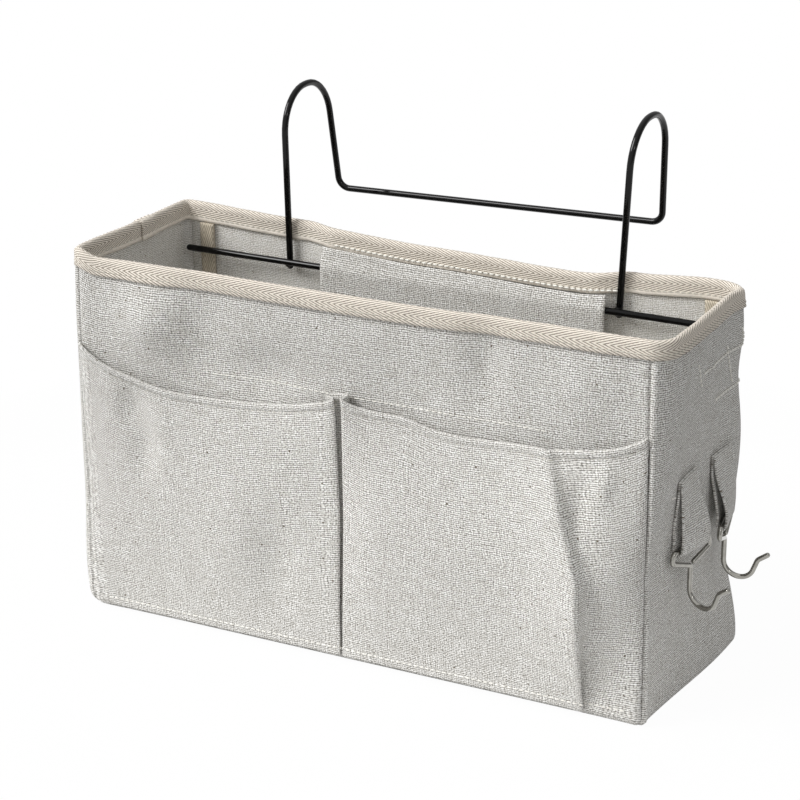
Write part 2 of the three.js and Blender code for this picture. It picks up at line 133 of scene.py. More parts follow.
def dyed(tree, share, none, full):
    """A colour between two, each a hex colour or another node's output."""
    none, full = (linear(colour) if isinstance(colour, str) else colour for colour in (none, full))
    return add(tree, "Mix", {0: share, 6: none, 7: full}, data_type="RGBA").outputs[2]


def new_finish(name):
    finish = bpy.data.materials.new(name)
    finish.use_nodes = True
    finish.node_tree.nodes.clear()
    return finish, finish.node_tree


def surface(tree, shader):
    add(tree, "OutputMaterial", {"Surface": shader})


# %% [markdown]
# ## Light and floor
# Soft studio light: one broad lamp from the front, the left and above, in a room that is pale on the lamp's
# side and dimmer on the other. The basket stands on a white sheet, which throws light back at the foot of its
# walls more than at the rim. A small weak lamp on the right draws the bright line along the wires. Sheet and
# surround are white to the camera, and in the metal too except on the room's dim side; the sheet keeps a
# little of its shadow.

# %% Lamps and surround
TO_LAMP = Vector((-0.58, -0.48, 0.66)).normalized()
LAMP = 2.7
LAMP_SOFTNESS = math.radians(30)
TO_GLINT = Vector((0.72, -0.5, 0.48)).normalized()
GLINT = 0.14
GLINT_SOFTNESS = math.radians(8)
ROOM_DIM = 0.34
ROOM_PALE = 0.70
PALING = (-0.6, 0.9)
MIRRORED = (-0.1, 0.6)


def sunlight(name, strength, softness, source):
    data = bpy.data.lights.new(name, "SUN")
    data.energy = strength
    data.angle = softness
    lamp = bpy.data.objects.new(name, data)
    lamp.rotation_mode = "QUATERNION"
    lamp.rotation_quaternion = source.to_track_quat("Z", "Y")
    bpy.context.scene.collection.objects.link(lamp)


sunlight("broad_lamp", LAMP, LAMP_SOFTNESS, TO_LAMP)
sunlight("glint_lamp", GLINT, GLINT_SOFTNESS, TO_GLINT)

world = bpy.data.worlds.new("pale_surround")
world.use_nodes = True
world.node_tree.nodes.clear()
sky = world.node_tree
rays = add(sky, "LightPath", {})
towards = add(sky, "TexCoord", {})
to_lamp = vector(sky, "DOT_PRODUCT", towards.outputs["Generated"], TO_LAMP).outputs["Value"]
paler = add(sky, "MapRange", {0: to_lamp, 1: PALING[0], 2: PALING[1], 3: ROOM_DIM, 4: ROOM_PALE})
dim = add(sky, "Background", {"Color": linear("#ffffff"), "Strength": paler})
white = add(sky, "Background", {"Color": linear("#ffffff"), "Strength": 1.0})
lamp_side = add(sky, "MapRange", {0: to_lamp, 1: MIRRORED[0], 2: MIRRORED[1]})
mirrored = number(sky, "MULTIPLY", rays.outputs["Is Glossy Ray"], lamp_side)
seen = number(sky, "MAXIMUM", rays.outputs["Is Camera Ray"], mirrored)
both = add(sky, "MixShader", {0: seen, 1: dim, 2: white})
add(sky, "OutputWorld", {"Surface": both})
bpy.context.scene.world = world
bpy.context.scene.view_settings.view_transform = "Standard"
print("lamp", LAMP, "room", ROOM_DIM, "to", ROOM_PALE)

# %% Floor
FLOOR_GLOW = 0.97
SHEET = 0.36
SHEET_EDGE = 0.06

paper, tree = new_finish("white_paper_floor")
rays = add(tree, "LightPath", {})
seen = number(tree, "MAXIMUM", rays.outputs["Is Camera Ray"], rays.outputs["Is Glossy Ray"])
place = add(tree, "TexCoord", {})
away = vector(tree, "LENGTH", place.outputs["Object"]).outputs["Value"]
beyond = add(tree, "MapRange", {0: away, 1: SHEET - SHEET_EDGE, 2: SHEET + SHEET_EDGE})
whiter = add(tree, "MapRange", {0: beyond, 3: FLOOR_GLOW, 4: 1.0})
share = number(tree, "MULTIPLY", seen, whiter)
matt = add(tree, "BsdfDiffuse", {"Color": dyed(tree, beyond, "#e8e8e8", "#6e6e6e")})
glow = add(tree, "Emission", {"Color": linear("#ffffff"), "Strength": 1.0})
surface(tree, add(tree, "MixShader", {0: share, 1: matt, 2: glow}))

FLOOR_RADIUS = 9.0
FLOOR_DROP = 0.2 * MM


def object_from(mesh, name, finish):
    """A bmesh as an object of one finish."""
    data = bpy.data.meshes.new(name)
    mesh.to_mesh(data)
    mesh.free()
    data.materials.append(finish)
    made = bpy.data.objects.new(name, data)
    bpy.context.scene.collection.objects.link(made)
    return made


disc = bmesh.new()
bmesh.ops.create_circle(disc, cap_ends=True, segments=64, radius=FLOOR_RADIUS)
floor = object_from(disc, "floor", paper)
floor.location.z = -FLOOR_DROP
print("floor", 2 * FLOOR_RADIUS, "m wide")

# %% [markdown]
# ## Woven cloth
# Plain weave: each thread goes over one and under the next, so the surface is a chequer of little cushions.
# Where they meet, the pores are darkened as painted shade. Linen yarn is uneven, so threads swell and pale
# along their length, and bits of dark straw are caught in them. A bitmap would fix one scale. Two sine waves
# in the cloth's own flat measure, kept in a UV map in metres, follow every fold and stay sharp at any
# distance.

# %% Plain weave finishes
UV = "cloth"
# How far upright and level threads wander, in threads, and how soon each rises from its edge.
DRIFT = (1.6, 1.2, 0)
FULLNESS = (0.22, 0.8)
# Swellings are long along a thread and short across it.
SLUB_STRETCH = 0.12
# Loose fibres blur the painted pore shade, which lies between two heights of the cushions.
FUZZ = 1.6
PORE_SHADE_SPAN = (0.15 + FUZZ / 2, 0.85 + FUZZ / 2)


def plain_weave(name, columns, rows, light, dark, pore_shade, straw, straw_share):
    """Plain weave: upright threads in columns, level ones in rows, each a given distance apart."""
    finish, tree = new_finish(name)
    flat = add(tree, "UVMap", {}, uv_map=UV)
    count = vector(tree, "MULTIPLY", flat, (1 / columns, 1 / rows, 0))
    drift = speckle(tree, count, 0.16, 2.0)
    threads = vector(tree, "MULTIPLY_ADD", drift.outputs["Color"], DRIFT, count)
    half_turns = vector(tree, "MULTIPLY", threads, (math.pi, math.pi, math.pi))
    waves = vector(tree, "SINE", half_turns)
    wave = add(tree, "SeparateXYZ", {0: waves})
    crossing = number(tree, "MULTIPLY", wave.outputs[0], wave.outputs[1])
    upright_over = number(tree, "GREATER_THAN", crossing, 0.0)
    size = add(tree, "SeparateXYZ", {0: vector(tree, "ABSOLUTE", waves)})
    in_column, in_row = (number(tree, "POWER", size.outputs[axis], FULLNESS[axis]) for axis in (0, 1))
    cushion = number(tree, "MULTIPLY", in_column, in_row)
    uprights = vector(tree, "MULTIPLY", threads, (1.0, SLUB_STRETCH, 0))
    levels = vector(tree, "MULTIPLY", threads, (SLUB_STRETCH, 1.0, 0))
    slub_up, slub_level = (speckle(tree, stretched, 0.9, 2.0) for stretched in (uprights, levels))
    slub = add(tree, "Mix", {0: upright_over, 2: slub_level, 3: slub_up})
    tone = add(tree, "MapRange", {0: slub, 1: 0.3, 2: 0.66})
    yarn = dyed(tree, tone, dark, light)
    fuzzy = number(tree, "MULTIPLY_ADD", speckle(tree, threads, 1.5, 1.0), FUZZ, cushion)
    # Where the cushions are low, the pores are darkened towards the third colour: painted shade.
    depth = add(tree, "MapRange", {0: fuzzy, 1: PORE_SHADE_SPAN[0], 2: PORE_SHADE_SPAN[1], 3: 1.0, 4: 0.0})
    pore_shaded = dyed(tree, depth, yarn, pore_shade)
    bits = speckle(tree, threads, 0.6, 0.0)
    caught = add(tree, "MapRange", {0: bits, 1: 1.0 - straw_share, 2: 1.03 - straw_share})
    flecked = dyed(tree, caught, pore_shaded, straw)
    lift = number(tree, "ADD", cushion, tone)
    bump = add(tree, "Bump", {"Height": lift, "Strength": 0.6, "Distance": 0.15 * MM})
    surface(tree, add(tree, "BsdfPrincipled", {
        "Base Color": flecked, "Roughness": 0.9, "Specular IOR Level": 0.2,
        "Sheen Weight": 0.1, "Sheen Roughness": 0.5, "Normal": bump,
    }))
    return finish


STRAW = 0.12
# Linen threads are really about 0.6 mm apart; they are drawn wider so that they show.
# After the two yarn colours comes the painted shade of the pores, then the straw.
linen = plain_weave("linen_cotton_cloth", 1.18 * MM, 1.05 * MM,
                    "#f8f7f4", "#d8d5cf", "#6e6b64", "#5c5140", STRAW)
# The lining is finer, bleached cotton, so it is drawn closer, paler and more even.
lining = plain_weave("bleached_cotton_lining", 0.95 * MM, 0.9 * MM,
                     "#fbfaf7", "#e4e1da", "#a19d94", "#75684f", STRAW)
print("cloth finishes:", linen.name, lining.name)

# %% [markdown]
# ## Herringbone tape
# Twill tape is woven with diagonal ribs that turn back at a spine, which makes a row of chevrons. A triangle
# wave across the tape tilts the ribs one way and then the other, and a sine along it makes the ribs; the
# grooves between them are darkened as painted shade.

# %% Tape, thread, board and metal
RIB = 3.1 * MM
CHEVRON = 5.2 * MM
SPINE = 4.2 * MM
RIB_LEAN = 2.7
PLAIN_EDGE = 2.0 * MM


def herringbone(name, ridge, groove, tape_wide):
    """Chevrons over the width of a tape, up to the plain edge of its far side."""
    finish, tree = new_finish(name)
    flat = add(tree, "UVMap", {}, uv_map=UV)
    place = add(tree, "SeparateXYZ", {0: flat})
    across = number(tree, "ADD", place.outputs[1], CHEVRON - SPINE)
    zigzag = number(tree, "PINGPONG", across, CHEVRON)
    slant = number(tree, "MULTIPLY_ADD", zigzag, RIB_LEAN, place.outputs[0])
    rough = speckle(tree, flat, 900.0, 2.0)
    turns = number(tree, "MULTIPLY", slant, 2 * math.pi / RIB)
    loose = number(tree, "MULTIPLY_ADD", rough, 1.4, turns)
    ribs = add(tree, "MapRange", {0: number(tree, "SINE", loose), 1: -1.0, 2: 0.1})
    edge = number(tree, "GREATER_THAN", place.outputs[1], tape_wide - PLAIN_EDGE)
    crest = number(tree, "MAXIMUM", ribs, edge)
    fuzzy = number(tree, "MULTIPLY_ADD", rough, 0.5, crest)
    # Crests take the pale colour and grooves the dark one: painted shade in the grooves, besides the bump.
    rib_shading = add(tree, "MapRange", {0: fuzzy, 1: 0.25, 2: 1.25})
    bump = add(tree, "Bump", {"Height": fuzzy, "Strength": 0.7, "Distance": 0.25 * MM})
    surface(tree, add(tree, "BsdfPrincipled", {
        "Base Color": dyed(tree, rib_shading, groove, ridge), "Roughness": 0.85, "Specular IOR Level": 0.25,
        "Sheen Weight": 0.1, "Normal": bump,
    }))
    return finish


def plain(name, hex_colour, speck, grain, relief, **sockets):
    """One material of one colour, with a fine grain of a given size in its colour and its surface."""
    finish, tree = new_finish(name)
    place = add(tree, "TexCoord", {})
    grains = add(tree, "TexNoise", {"Vector": place.outputs["Object"], "Scale": 1 / grain, "Detail": 3.0})
    share = add(tree, "MapRange", {0: grains, 1: 0.3, 2: 0.7})
    bump = add(tree, "Bump", {"Height": grains, "Strength": 0.4, "Distance": relief})
    links = {"Base Color": dyed(tree, share, speck, hex_colour), "Normal": bump, **sockets}
    surface(tree, add(tree, "BsdfPrincipled", links))
    return finish


RIM_WIDE = 20.6 * MM
BEYOND_EDGE = 30 * MM
# The second colour is the painted shade in the grooves between the ribs.
tape = herringbone("cotton_herringbone_tape", "#f1e9dd", "#85796a", RIM_WIDE)
# The tape on the inner seams is drawn browner and darker than the rim's, as painted shade of the inner
# corners, and shows no plain edge.
seam_tape = herringbone("seam_tape_painted_shade", "#d8cebc", "#a3967f", BEYOND_EDGE)
thread = plain("white_cotton_thread", "#fbfaf5", "#e6e2d8", 0.5 * MM, 0.05 * MM, Roughness=0.8)
# The thread of the hems and bindings is as grey as the cloth, so it shows by its relief only.
grey_thread = plain("natural_linen_thread", "#d6d2c8", "#bdb8ac", 0.5 * MM, 0.05 * MM, Roughness=0.85)
board = plain("grey_board", "#b5a88f", "#a09279", 1.2 * MM, 0.1 * MM, Roughness=0.95)
# Wire dipped in gloss black paint: the film levels itself, with a trace of waviness left in it.
black_paint = plain("gloss_black_paint", "#020202", "#040404", 6 * MM, 0.02 * MM,
                    Roughness=0.06, **{"Specular IOR Level": 0.25})
# Bright nickel over polished steel: a warm grey mirror, softened by fine drawing marks.
nickel = plain("bright_nickel_plate", "#a6a49e", "#94928c", 3 * MM, 0.01 * MM, Roughness=0.08, Metallic=1.0)
print("tape and metal finishes:", tape.name, thread.name, board.name, black_paint.name, nickel.name)

# %% [markdown]
# ## How the basket slouches
# Every layer of a wall (cloth, lining, tape, patch, stitch) is placed by three numbers: how far along the
# wall, how high, and how deep behind the outer face. One function turns these into a place in space, and it
# holds all of the slouch: wide corners at the rim, bulges, the sleeve's pull on the back. Because every layer
# goes through it, a bulge moves them together and no layer breaks through another.

# %% Places along the walls
FRONT_HALF = 147.5 * MM
BACK_HALF = 152.0 * MM
FRONT_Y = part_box("front_panel")[0].y
BACK_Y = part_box("back_panel")[1].y
RIM_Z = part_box("rim_binding")[1].z
TAPE_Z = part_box("rim_binding")[0].z
ROD_LOW, ROD_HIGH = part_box("carrier_rod")
ROD_Y = (ROD_LOW.y + ROD_HIGH.y) / 2
ROD_Z = (ROD_LOW.z + ROD_HIGH.z) / 2
WALL = 2.0 * MM
BASE_ROUND = 3.5 * MM
SOFT_CORNER = 4.5 * MM
SOFT_REACH = 14 * MM

END_RUN = Vector((BACK_HALF - FRONT_HALF, BACK_Y - FRONT_Y))
END = END_RUN.length
ALONG_END = END_RUN / END
FRONT_CORNER = FRONT_HALF
BACK_CORNER = FRONT_HALF + END
HALF_ROUND = BACK_CORNER + BACK_HALF
ROUND = 2 * HALF_ROUND


def smooth(value, low, high):
    """0 below low, 1 above high, and a soft step between."""
    share = min(max((value - low) / (high - low), 0), 1)
    return share * share * (3 - 2 * share)


def on_end(y):
    """How far along the right wall a place is, from its y; the left wall's is the same with a minus."""
    return FRONT_CORNER + (y - FRONT_Y) / ALONG_END.y


def on_back(x):
    return HALF_ROUND - x


def wrapped(along):
    """The same place, counted from the middle of the front: rightwards is positive."""
    return (along + HALF_ROUND) % ROUND - HALF_ROUND


print("round the basket:", round(ROUND / MM), "mm")

# %% Bulges and dents
Dent = namedtuple("Dent", "along height wide tall out")


def dents(place, rows):
    """Rows in millimetres: where on the wall, how high, how wide, how tall, and how far out."""
    return [Dent(place(at * MM), *(value * MM for value in row)) for at, *row in rows]


def on_front(x):
    return x


def on_left(y):
    return -on_end(y)


DENTS = [
    *dents(on_end, [
        (-25, 175, 32, 40, 2.4), (30, 182, 40, 28, 1.6), (50, 112, 22, 26, 2.4), (52, 163, 26, 16, 2.0),
        (56, 52, 26, 20, -4.0), (30, 4, 55, 24, 4.6), (-34, 160, 3, 15, 0.9), (3, 160, 3, 18, 0.9),
        (-44, 76, 14, 16, -1.6), (-38, 120, 16, 26, 1.6),
    ]),
    *dents(on_left, [(-40, 120, 34, 110, 3.2), (20, 110, 50, 60, 3.0)]),
    *dents(on_front, [
        (-151.5, 22, 18, 30, 3.2), (-104, 157, 18, 19, 8.2), (-77, 158, 12, 20, -1.6),
        (-46, 139, 22, 14, -3.8), (40, 132, 110, 34, -3.0), (0, 164, 34, 20, 1.4), (65, 164, 9, 22, -3.0),
        (112, 158, 18, 22, 3.0),
    ]),
    *dents(on_back, [(0, 70, 110, 60, 3.0)]),
]
SLEEVE_PULL = 5.2 * MM
SLEEVE_LEFT, SLEEVE_RIGHT = (-80 * MM, -60 * MM), (78 * MM, 98 * MM)
PULLED_FROM = (138 * MM, 182 * MM)
CREASE = 0.5 * MM
CREASE_WIDE, CREASE_TALL = 38 * MM, 46 * MM


def dented(shapes, along, height):
    """How far a list of bulges and dents moves a place outwards."""
    out = 0.0
    for dent in shapes:
        beside = wrapped(along - dent.along) / dent.wide
        above = (height - dent.height) / dent.tall
        out += dent.out * math.exp(-beside * beside - above * above)
    return out


def slouch(along, height):
    """How far the wall stands out of its flat place."""
    along = wrapped(along)
    out = dented(DENTS, along, height)
    if abs(along) > BACK_CORNER:
        x = on_back(abs(along)) * (1 if along > 0 else -1)
        pulled = smooth(x, *SLEEVE_LEFT) * (1 - smooth(x, *SLEEVE_RIGHT))
        out -= SLEEVE_PULL * pulled * smooth(height, *PULLED_FROM)
    ripple = noise.noise(Vector((along / CREASE_WIDE, height / CREASE_TALL, 3.1)))
    return out + CREASE * ripple * smooth(height, 0, 30 * MM)


print("bulges and dents:", len(DENTS))

# %% Rim and corners
RIM_HEIGHTS = [(along, rise * MM) for along, rise in (
    (-FRONT_CORNER - 6 * MM, 1.5), (-FRONT_CORNER + 2 * MM, 2.4), (-134 * MM, -0.8), (-112 * MM, -0.3),
    (-30 * MM, -1.0), (36 * MM, -1.2), (104 * MM, 0.0), (FRONT_CORNER, 0.0), (on_end(20 * MM), -0.5),
    (BACK_CORNER, -4.0), (on_back(133 * MM), -3.5), (on_back(98 * MM), -5.5), (on_back(70 * MM), -7.5),
    (on_back(-5 * MM), -5.5), (ROUND - on_back(78 * MM), -2.5), (ROUND - BACK_CORNER, 0.0),
    (ROUND - on_end(0), 0.5), (ROUND - FRONT_CORNER - 6 * MM, 1.5),
)]


def rim_rise(along):
    """How far the rim stands above its even height; it sags most over the middle of the back."""
    along = (along - RIM_HEIGHTS[0][0]) % ROUND + RIM_HEIGHTS[0][0]
    for (start, low), (end, high) in zip(RIM_HEIGHTS, RIM_HEIGHTS[1:]):
        if along <= end:
            return low + (high - low) * smooth(along, start, end)
    return RIM_HEIGHTS[-1][1]


# Corners are named by side, 1 for right and -1 for left, and by row, 1 for front and 2 for back.
LOW_RADIUS = 4.5 * MM
RIM_RADIUS = {(1, 1): 9 * MM, (1, 2): 12 * MM, (-1, 1): 8 * MM, (-1, 2): 4 * MM}
RIM_FLARE = {(1, 1): 6.0 * MM, (1, 2): 0.0, (-1, 1): 1.0 * MM, (-1, 2): 0.0}
FLARE_FROM = (60 * MM, 180 * MM)
ROUNDED_FROM = (70 * MM, 178 * MM)
SAGS_FROM = 110 * MM


def turned(way, angle):
    return Vector((
        way.x * math.cos(angle) - way.y * math.sin(angle),
        way.x * math.sin(angle) + way.y * math.cos(angle),
    ))


def plan(along, height):
    """The undented wall's outer face and its outward direction, at a height."""
    along = wrapped(along)
    side = 1 if along >= 0 else -1
    along = abs(along)
    marks = (0, FRONT_CORNER, BACK_CORNER, HALF_ROUND)
    spread = smooth(height, *FLARE_FROM)
    stops = (
        Vector((0, FRONT_Y)),
        Vector((FRONT_HALF + RIM_FLARE[side, 1] * spread, FRONT_Y)),
        Vector((BACK_HALF + RIM_FLARE[side, 2] * spread, BACK_Y)),
        Vector((0, BACK_Y)),
    )
    legs = [stops[leg + 1] - stops[leg] for leg in range(3)]
    scales = [legs[leg].length / (marks[leg + 1] - marks[leg]) for leg in range(3)]
    leg = 0 if along < FRONT_CORNER else 1 if along < BACK_CORNER else 2
    here = stops[leg] + legs[leg].normalized() * (along - marks[leg]) * scales[leg]
    outward = Vector((legs[leg].y, -legs[leg].x)).normalized()
    for corner in (1, 2):
        coming, leaving = legs[corner - 1].normalized(), legs[corner].normalized()
        radius = LOW_RADIUS + (RIM_RADIUS[side, corner] - LOW_RADIUS) * smooth(height, *ROUNDED_FROM)
        bend = -coming.angle_signed(leaving)
        reach = radius * math.tan(bend / 2)
        before, after = reach / scales[corner - 1], reach / scales[corner]
        beyond = along - marks[corner]
        if -before < beyond < after:
            first = Vector((coming.y, -coming.x))
            centre = stops[corner] - coming * reach - first * radius
            outward = turned(first, bend * (beyond + before) / (before + after))
            here = centre + outward * radius
    return Vector((here.x * side, here.y)), Vector((outward.x * side, outward.y))


def wall(along, height, depth=0.0):
    """A place in a wall: along it, up it, and behind its outer face."""
    here, outward = plan(along, height)
    radius = BASE_ROUND + SOFT_CORNER * math.exp(-(wrapped(along + FRONT_CORNER) / SOFT_REACH) ** 2)
    low = min(max(1 - height / radius, 0), 1)
    tuck = radius * (1 - math.sqrt(1 - low * low))
    here = here + outward * (slouch(along, height) - depth - tuck)
    lifted = height + rim_rise(along) * smooth(height, SAGS_FROM, RIM_Z)
    return Vector((here.x, here.y, lifted))


print("right wall at the rim:", round(wall(on_end(0), RIM_Z).x / MM, 1), "mm from the middle")

# %% [markdown]
# ## Cutting cloth
# A cut of cloth starts as a flat grid of its real size. Its flat measure goes into the UV map, so the weave
# is printed on it before it is sewn, and then each crossing moves to its place on the basket. A Solidify
# modifier gives it its thickness. Every cut prints the size that it had on the cutting table.

# %% Cutting and finishing cloth
LINEN = 1.0 * MM
LINING = 0.7 * MM
TAPE = 0.7 * MM


def piece_from(mesh, name, finish, body="basket", replaced=()):
    """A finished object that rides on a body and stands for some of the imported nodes."""
    piece = object_from(mesh, name, finish)
    piece.data.shade_smooth()
    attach(piece, body)
    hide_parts(*replaced)
    return piece


def cut(wide, tall, grid, place):
    """A flat cut of cloth whose every crossing is then moved to its place on the basket."""
    mesh = bmesh.new()
    columns, rows = (max(2, round(side / grid)) for side in (wide, tall))
    bmesh.ops.create_grid(mesh, x_segments=columns, y_segments=rows, size=0.5)
    bmesh.ops.translate(mesh, verts=mesh.verts, vec=(0.5, 0.5, 0))
    bmesh.ops.scale(mesh, verts=mesh.verts, vec=(wide, tall, 1))
    layer = mesh.loops.layers.uv.new(UV)
    for face in mesh.faces:
        for loop in face.loops:
            loop[layer].uv = loop.vert.co.xy
    for vert in mesh.verts:
        vert.co = place(vert.co.x, vert.co.y)
    return mesh


def sew(name, size, grid, place, finish, node, thickness, offset=-1.0):
    """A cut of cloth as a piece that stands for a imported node, with its thickness and its flat size."""
    cloth = piece_from(cut(*size, grid, place), name, finish, replaced=[node])
    solid = cloth.modifiers.new("thickness", "SOLIDIFY")
    solid.thickness = thickness
    solid.offset = offset
    print(name, round(size[0] / MM), "x", round(size[1] / MM, 1), "mm")


print("cloth thickness:", LINEN / MM, "mm linen,", LINING / MM, "mm lining")

# %% [markdown]
# ## The four walls
# Four cuts of linen meet near the corners. At a seam both edges turn inwards and are sewn through, so there
# is a groove with a ridge beside it on the end wall, where the turned edges lie under the cloth.

# %% Outer walls
SEAM_GROOVE = 0.4 * MM
SEAM_WIDTH = 1.0 * MM
SEAM_RIDGE = {"front": 0.2 * MM, "right": 1.0 * MM, "back": 0.2 * MM, "left": 0.8 * MM}
RIDGE_PLACE = 2.6 * MM
RIDGE_WIDTH = 1.8 * MM
SEAM_SHIFT = 1.6 * MM
SHIFTED_BELOW = (70 * MM, 130 * MM)
SEAM_TURN = 0.3 * MM
SEAM_CREEP = 6.2 * MM
BACK_SEAM = BACK_CORNER + 4.0 * MM
WALL_LOW = 0.4 * MM
WALL_HIGH = RIM_Z - 1.6 * MM
FINE = 1.7 * MM
COARSE = 3.5 * MM


def seam(distance, ridge):
    """How deep the cloth lies at a distance from a seam."""
    groove = SEAM_GROOVE * math.exp(-(distance / SEAM_WIDTH) ** 2)
    return groove - ridge * math.exp(-((distance - RIDGE_PLACE) / RIDGE_WIDTH) ** 2)


def right_front_seam(height):
    """Near the rim the right wall's cloth is drawn round the corner, so the seam moves onto the front."""
    return FRONT_CORNER - SEAM_TURN - SEAM_CREEP * smooth(height, *FLARE_FROM)


def left_front_seam(height):
    return SEAM_SHIFT - FRONT_CORNER + SEAM_SHIFT * (1 - smooth(height, *SHIFTED_BELOW))


WALLS = {
    "front": (left_front_seam, right_front_seam),
    "right": (right_front_seam, lambda height: BACK_SEAM),
    "back": (lambda height: BACK_SEAM, lambda height: ROUND - BACK_SEAM),
    "left": (lambda height: ROUND - BACK_SEAM, lambda height: ROUND + left_front_seam(height)),
}


def wall_cut(name, edges, grid, thickness, finish, node, depth_at):
    """A cut between two seams; depth_at gives its depth from the distance to the nearer seam."""
    wide, tall = edges[1](0) - edges[0](0), WALL_HIGH - WALL_LOW

    def sewn(across, up):
        start, end = (edge(WALL_LOW + up) for edge in edges)
        along = start + (end - start) * across / wide
        return wall(along, WALL_LOW + up, depth_at(min(across, wide - across)))

    sew(name, (wide, tall), grid, sewn, finish, node, thickness)


for side, edges in WALLS.items():
    wall_cut(f"{side}_cloth", edges, FINE, LINEN, linen, f"{side}_panel",
             lambda distance: seam(distance, SEAM_RIDGE[side]))

# %% [markdown]
# ## Lining and base
# The lining is a paler cotton bag of the same shape. The base is the only part with a board in it, so it is
# flat, and the two cuts that cover the board follow the lower edges of the walls.

# %% Lining and base
LINING_DEPTH = LINEN + 0.3 * MM
for side, edges in WALLS.items():
    wall_cut(f"{side}_lining_cloth", edges, COARSE, LINING, lining, f"{side}_lining",
             lambda distance: LINING_DEPTH)


def floor_cut(name, finish, height, inset, thickness, node):
    """A flat cut that fills the basket's outline at a height."""
    long, deep = 2 * BACK_HALF, BACK_Y - FRONT_Y - 2 * inset

    def laid(across, up):
        reach = 2 * across / long - 1
        front = wall(reach * FRONT_HALF, BASE_ROUND, inset).y
        back = wall(on_back(reach * BACK_HALF), BASE_ROUND, inset).y
        y = front + (back - front) * up / deep
        end = wall(on_end(y) if reach > 0 else -on_end(y), BASE_ROUND, inset).x
        return Vector((abs(reach) * end, y, height))

    sew(name, (long, deep), COARSE, laid, finish, node, thickness)


BASE_INSET = 3.2 * MM
BASE_LINING_INSET = 2.2 * MM
floor_cut("bottom_cloth", linen, LINEN, BASE_INSET, LINEN, "bottom_panel")
inside_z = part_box("bottom_lining")[1].z
floor_cut("bottom_lining_cloth", lining, inside_z, BASE_LINING_INSET, LINING, "bottom_lining")
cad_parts["base_board"].data.materials.clear()
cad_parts["base_board"].data.materials.append(board)

# %% [markdown]
# ## Rim tape
# One length of herringbone tape is folded over the raw edges of cloth and lining and sewn through. It starts
# and ends on the left wall, where its end laps over its start. The tape is a flat cut whose short way runs up
# the outside, over the crest and down the inside.

# %% Rim tape
OUTER_DEPTH = -1.0 * MM
INNER_DEPTH = WALL + 1.0 * MM
CREST = (INNER_DEPTH - OUTER_DEPTH) / 2
OUTER_LEG = 6.6 * MM
INNER_LEG = RIM_Z - TAPE_Z - CREST
TAPE_WIDTH = OUTER_LEG + math.pi * CREST + INNER_LEG
LAP = 13 * MM
LAP_RISE = 1.1 * MM
TAPE_START = ROUND - on_end(18 * MM)
LAP_EDGE = 1 * MM
SELVEDGE = 0.25 * MM
SELVEDGE_WIDE = 0.9 * MM
PUCKER = 0.3 * MM
PUCKER_LONG, PUCKER_WIDE = 9 * MM, 7 * MM
TAPE_GRID = 1.5 * MM


def folded_over(across, leg, radius):
    """A tape folded round an edge: how far towards the edge, and how far from the first layer."""
    if across < leg:
        return across, 0.0
    if across > leg + math.pi * radius:
        return 2 * leg + math.pi * radius - across, 2 * radius
    angle = (across - leg) / radius
    return leg + radius * math.sin(angle), radius * (1 - math.cos(angle))


def bound(along, across):
    up, behind = folded_over(across, OUTER_LEG, CREST)
    lap = LAP_RISE * smooth(along, ROUND - LAP_EDGE, ROUND + LAP_EDGE)
    edge = SELVEDGE * math.exp(-(min(across, TAPE_WIDTH - across) / SELVEDGE_WIDE) ** 2)
    swell = (lap + edge) * (1 if behind < CREST else -1)
    pucker = PUCKER * noise.noise(Vector((along / PUCKER_LONG, across / PUCKER_WIDE, 8.0)))
    height = RIM_Z - CREST - OUTER_LEG + up
    return wall(TAPE_START + along, height, OUTER_DEPTH + behind - swell + pucker)


sew("rim_tape", (ROUND + LAP, TAPE_WIDTH), TAPE_GRID, bound, tape, "rim_binding", TAPE)

# %% [markdown]
# ## Seam tapes
# Beside each inner corner the raw edges of the seam are wrapped in the same tape, folded over them as on the
# rim, and the wrapped edge lies against the lining.

# %% Seam tapes
SEAM_ROUND = 0.75 * MM
SEAM_TAPE = 0.5 * MM
SEAM_TAPE_DEPTH = WALL + 0.6 * MM
BACK_TAPE_SHIFT = 6.4 * MM
for end, x_side in (("left", -1), ("right", 1)):
    for row in ("front", "back"):
        node = f"corner_tape_{row}_{end}"
        low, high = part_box(node)
        leg, tall = high.x - low.x - SEAM_ROUND, high.z - low.z
        wide = 2 * leg + math.pi * SEAM_ROUND
        corner = max(abs(low.x), abs(high.x)) - (0 if row == "front" else BACK_TAPE_SHIFT)
        root = corner if row == "front" else on_back(corner)

        def wrapped_seam(up, across):
            past, above = folded_over(across, leg, SEAM_ROUND)
            along = root - past if row == "front" else root + past
            return wall(x_side * along, low.z + up, SEAM_TAPE_DEPTH + above)

        sew(f"seam_tape_{row}_{end}", (tall, wide), TAPE_GRID, wrapped_seam, seam_tape, node,
            SEAM_TAPE, offset=0.0)

# %% [markdown]
# ## Pocket strip
# One long strip makes both pockets. At the base its pleats are folded flat and sewn down. At the mouth they
# are drawn open and the hem droops between its seams, close to the wall, while the cloth below it bellies
# out, most at the crease of the right pocket. Each level of the strip is a line in plan that is bent through
# a few stops, and the stops move from the folded line to the open one. The top edge is turned in and sewn as
# a hem.

# %% Stops of the pocket strip
POCKET_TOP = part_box("pocket_panel")[1].z
POCKET_LOW = 3.2 * MM
POCKET_TALL = POCKET_TOP - POCKET_LOW
LAYER = 0.7 * MM
HEM = 3.6 * MM
HEM_PROUD = 0.7 * MM
HEM_ROUND = 0.5 * MM

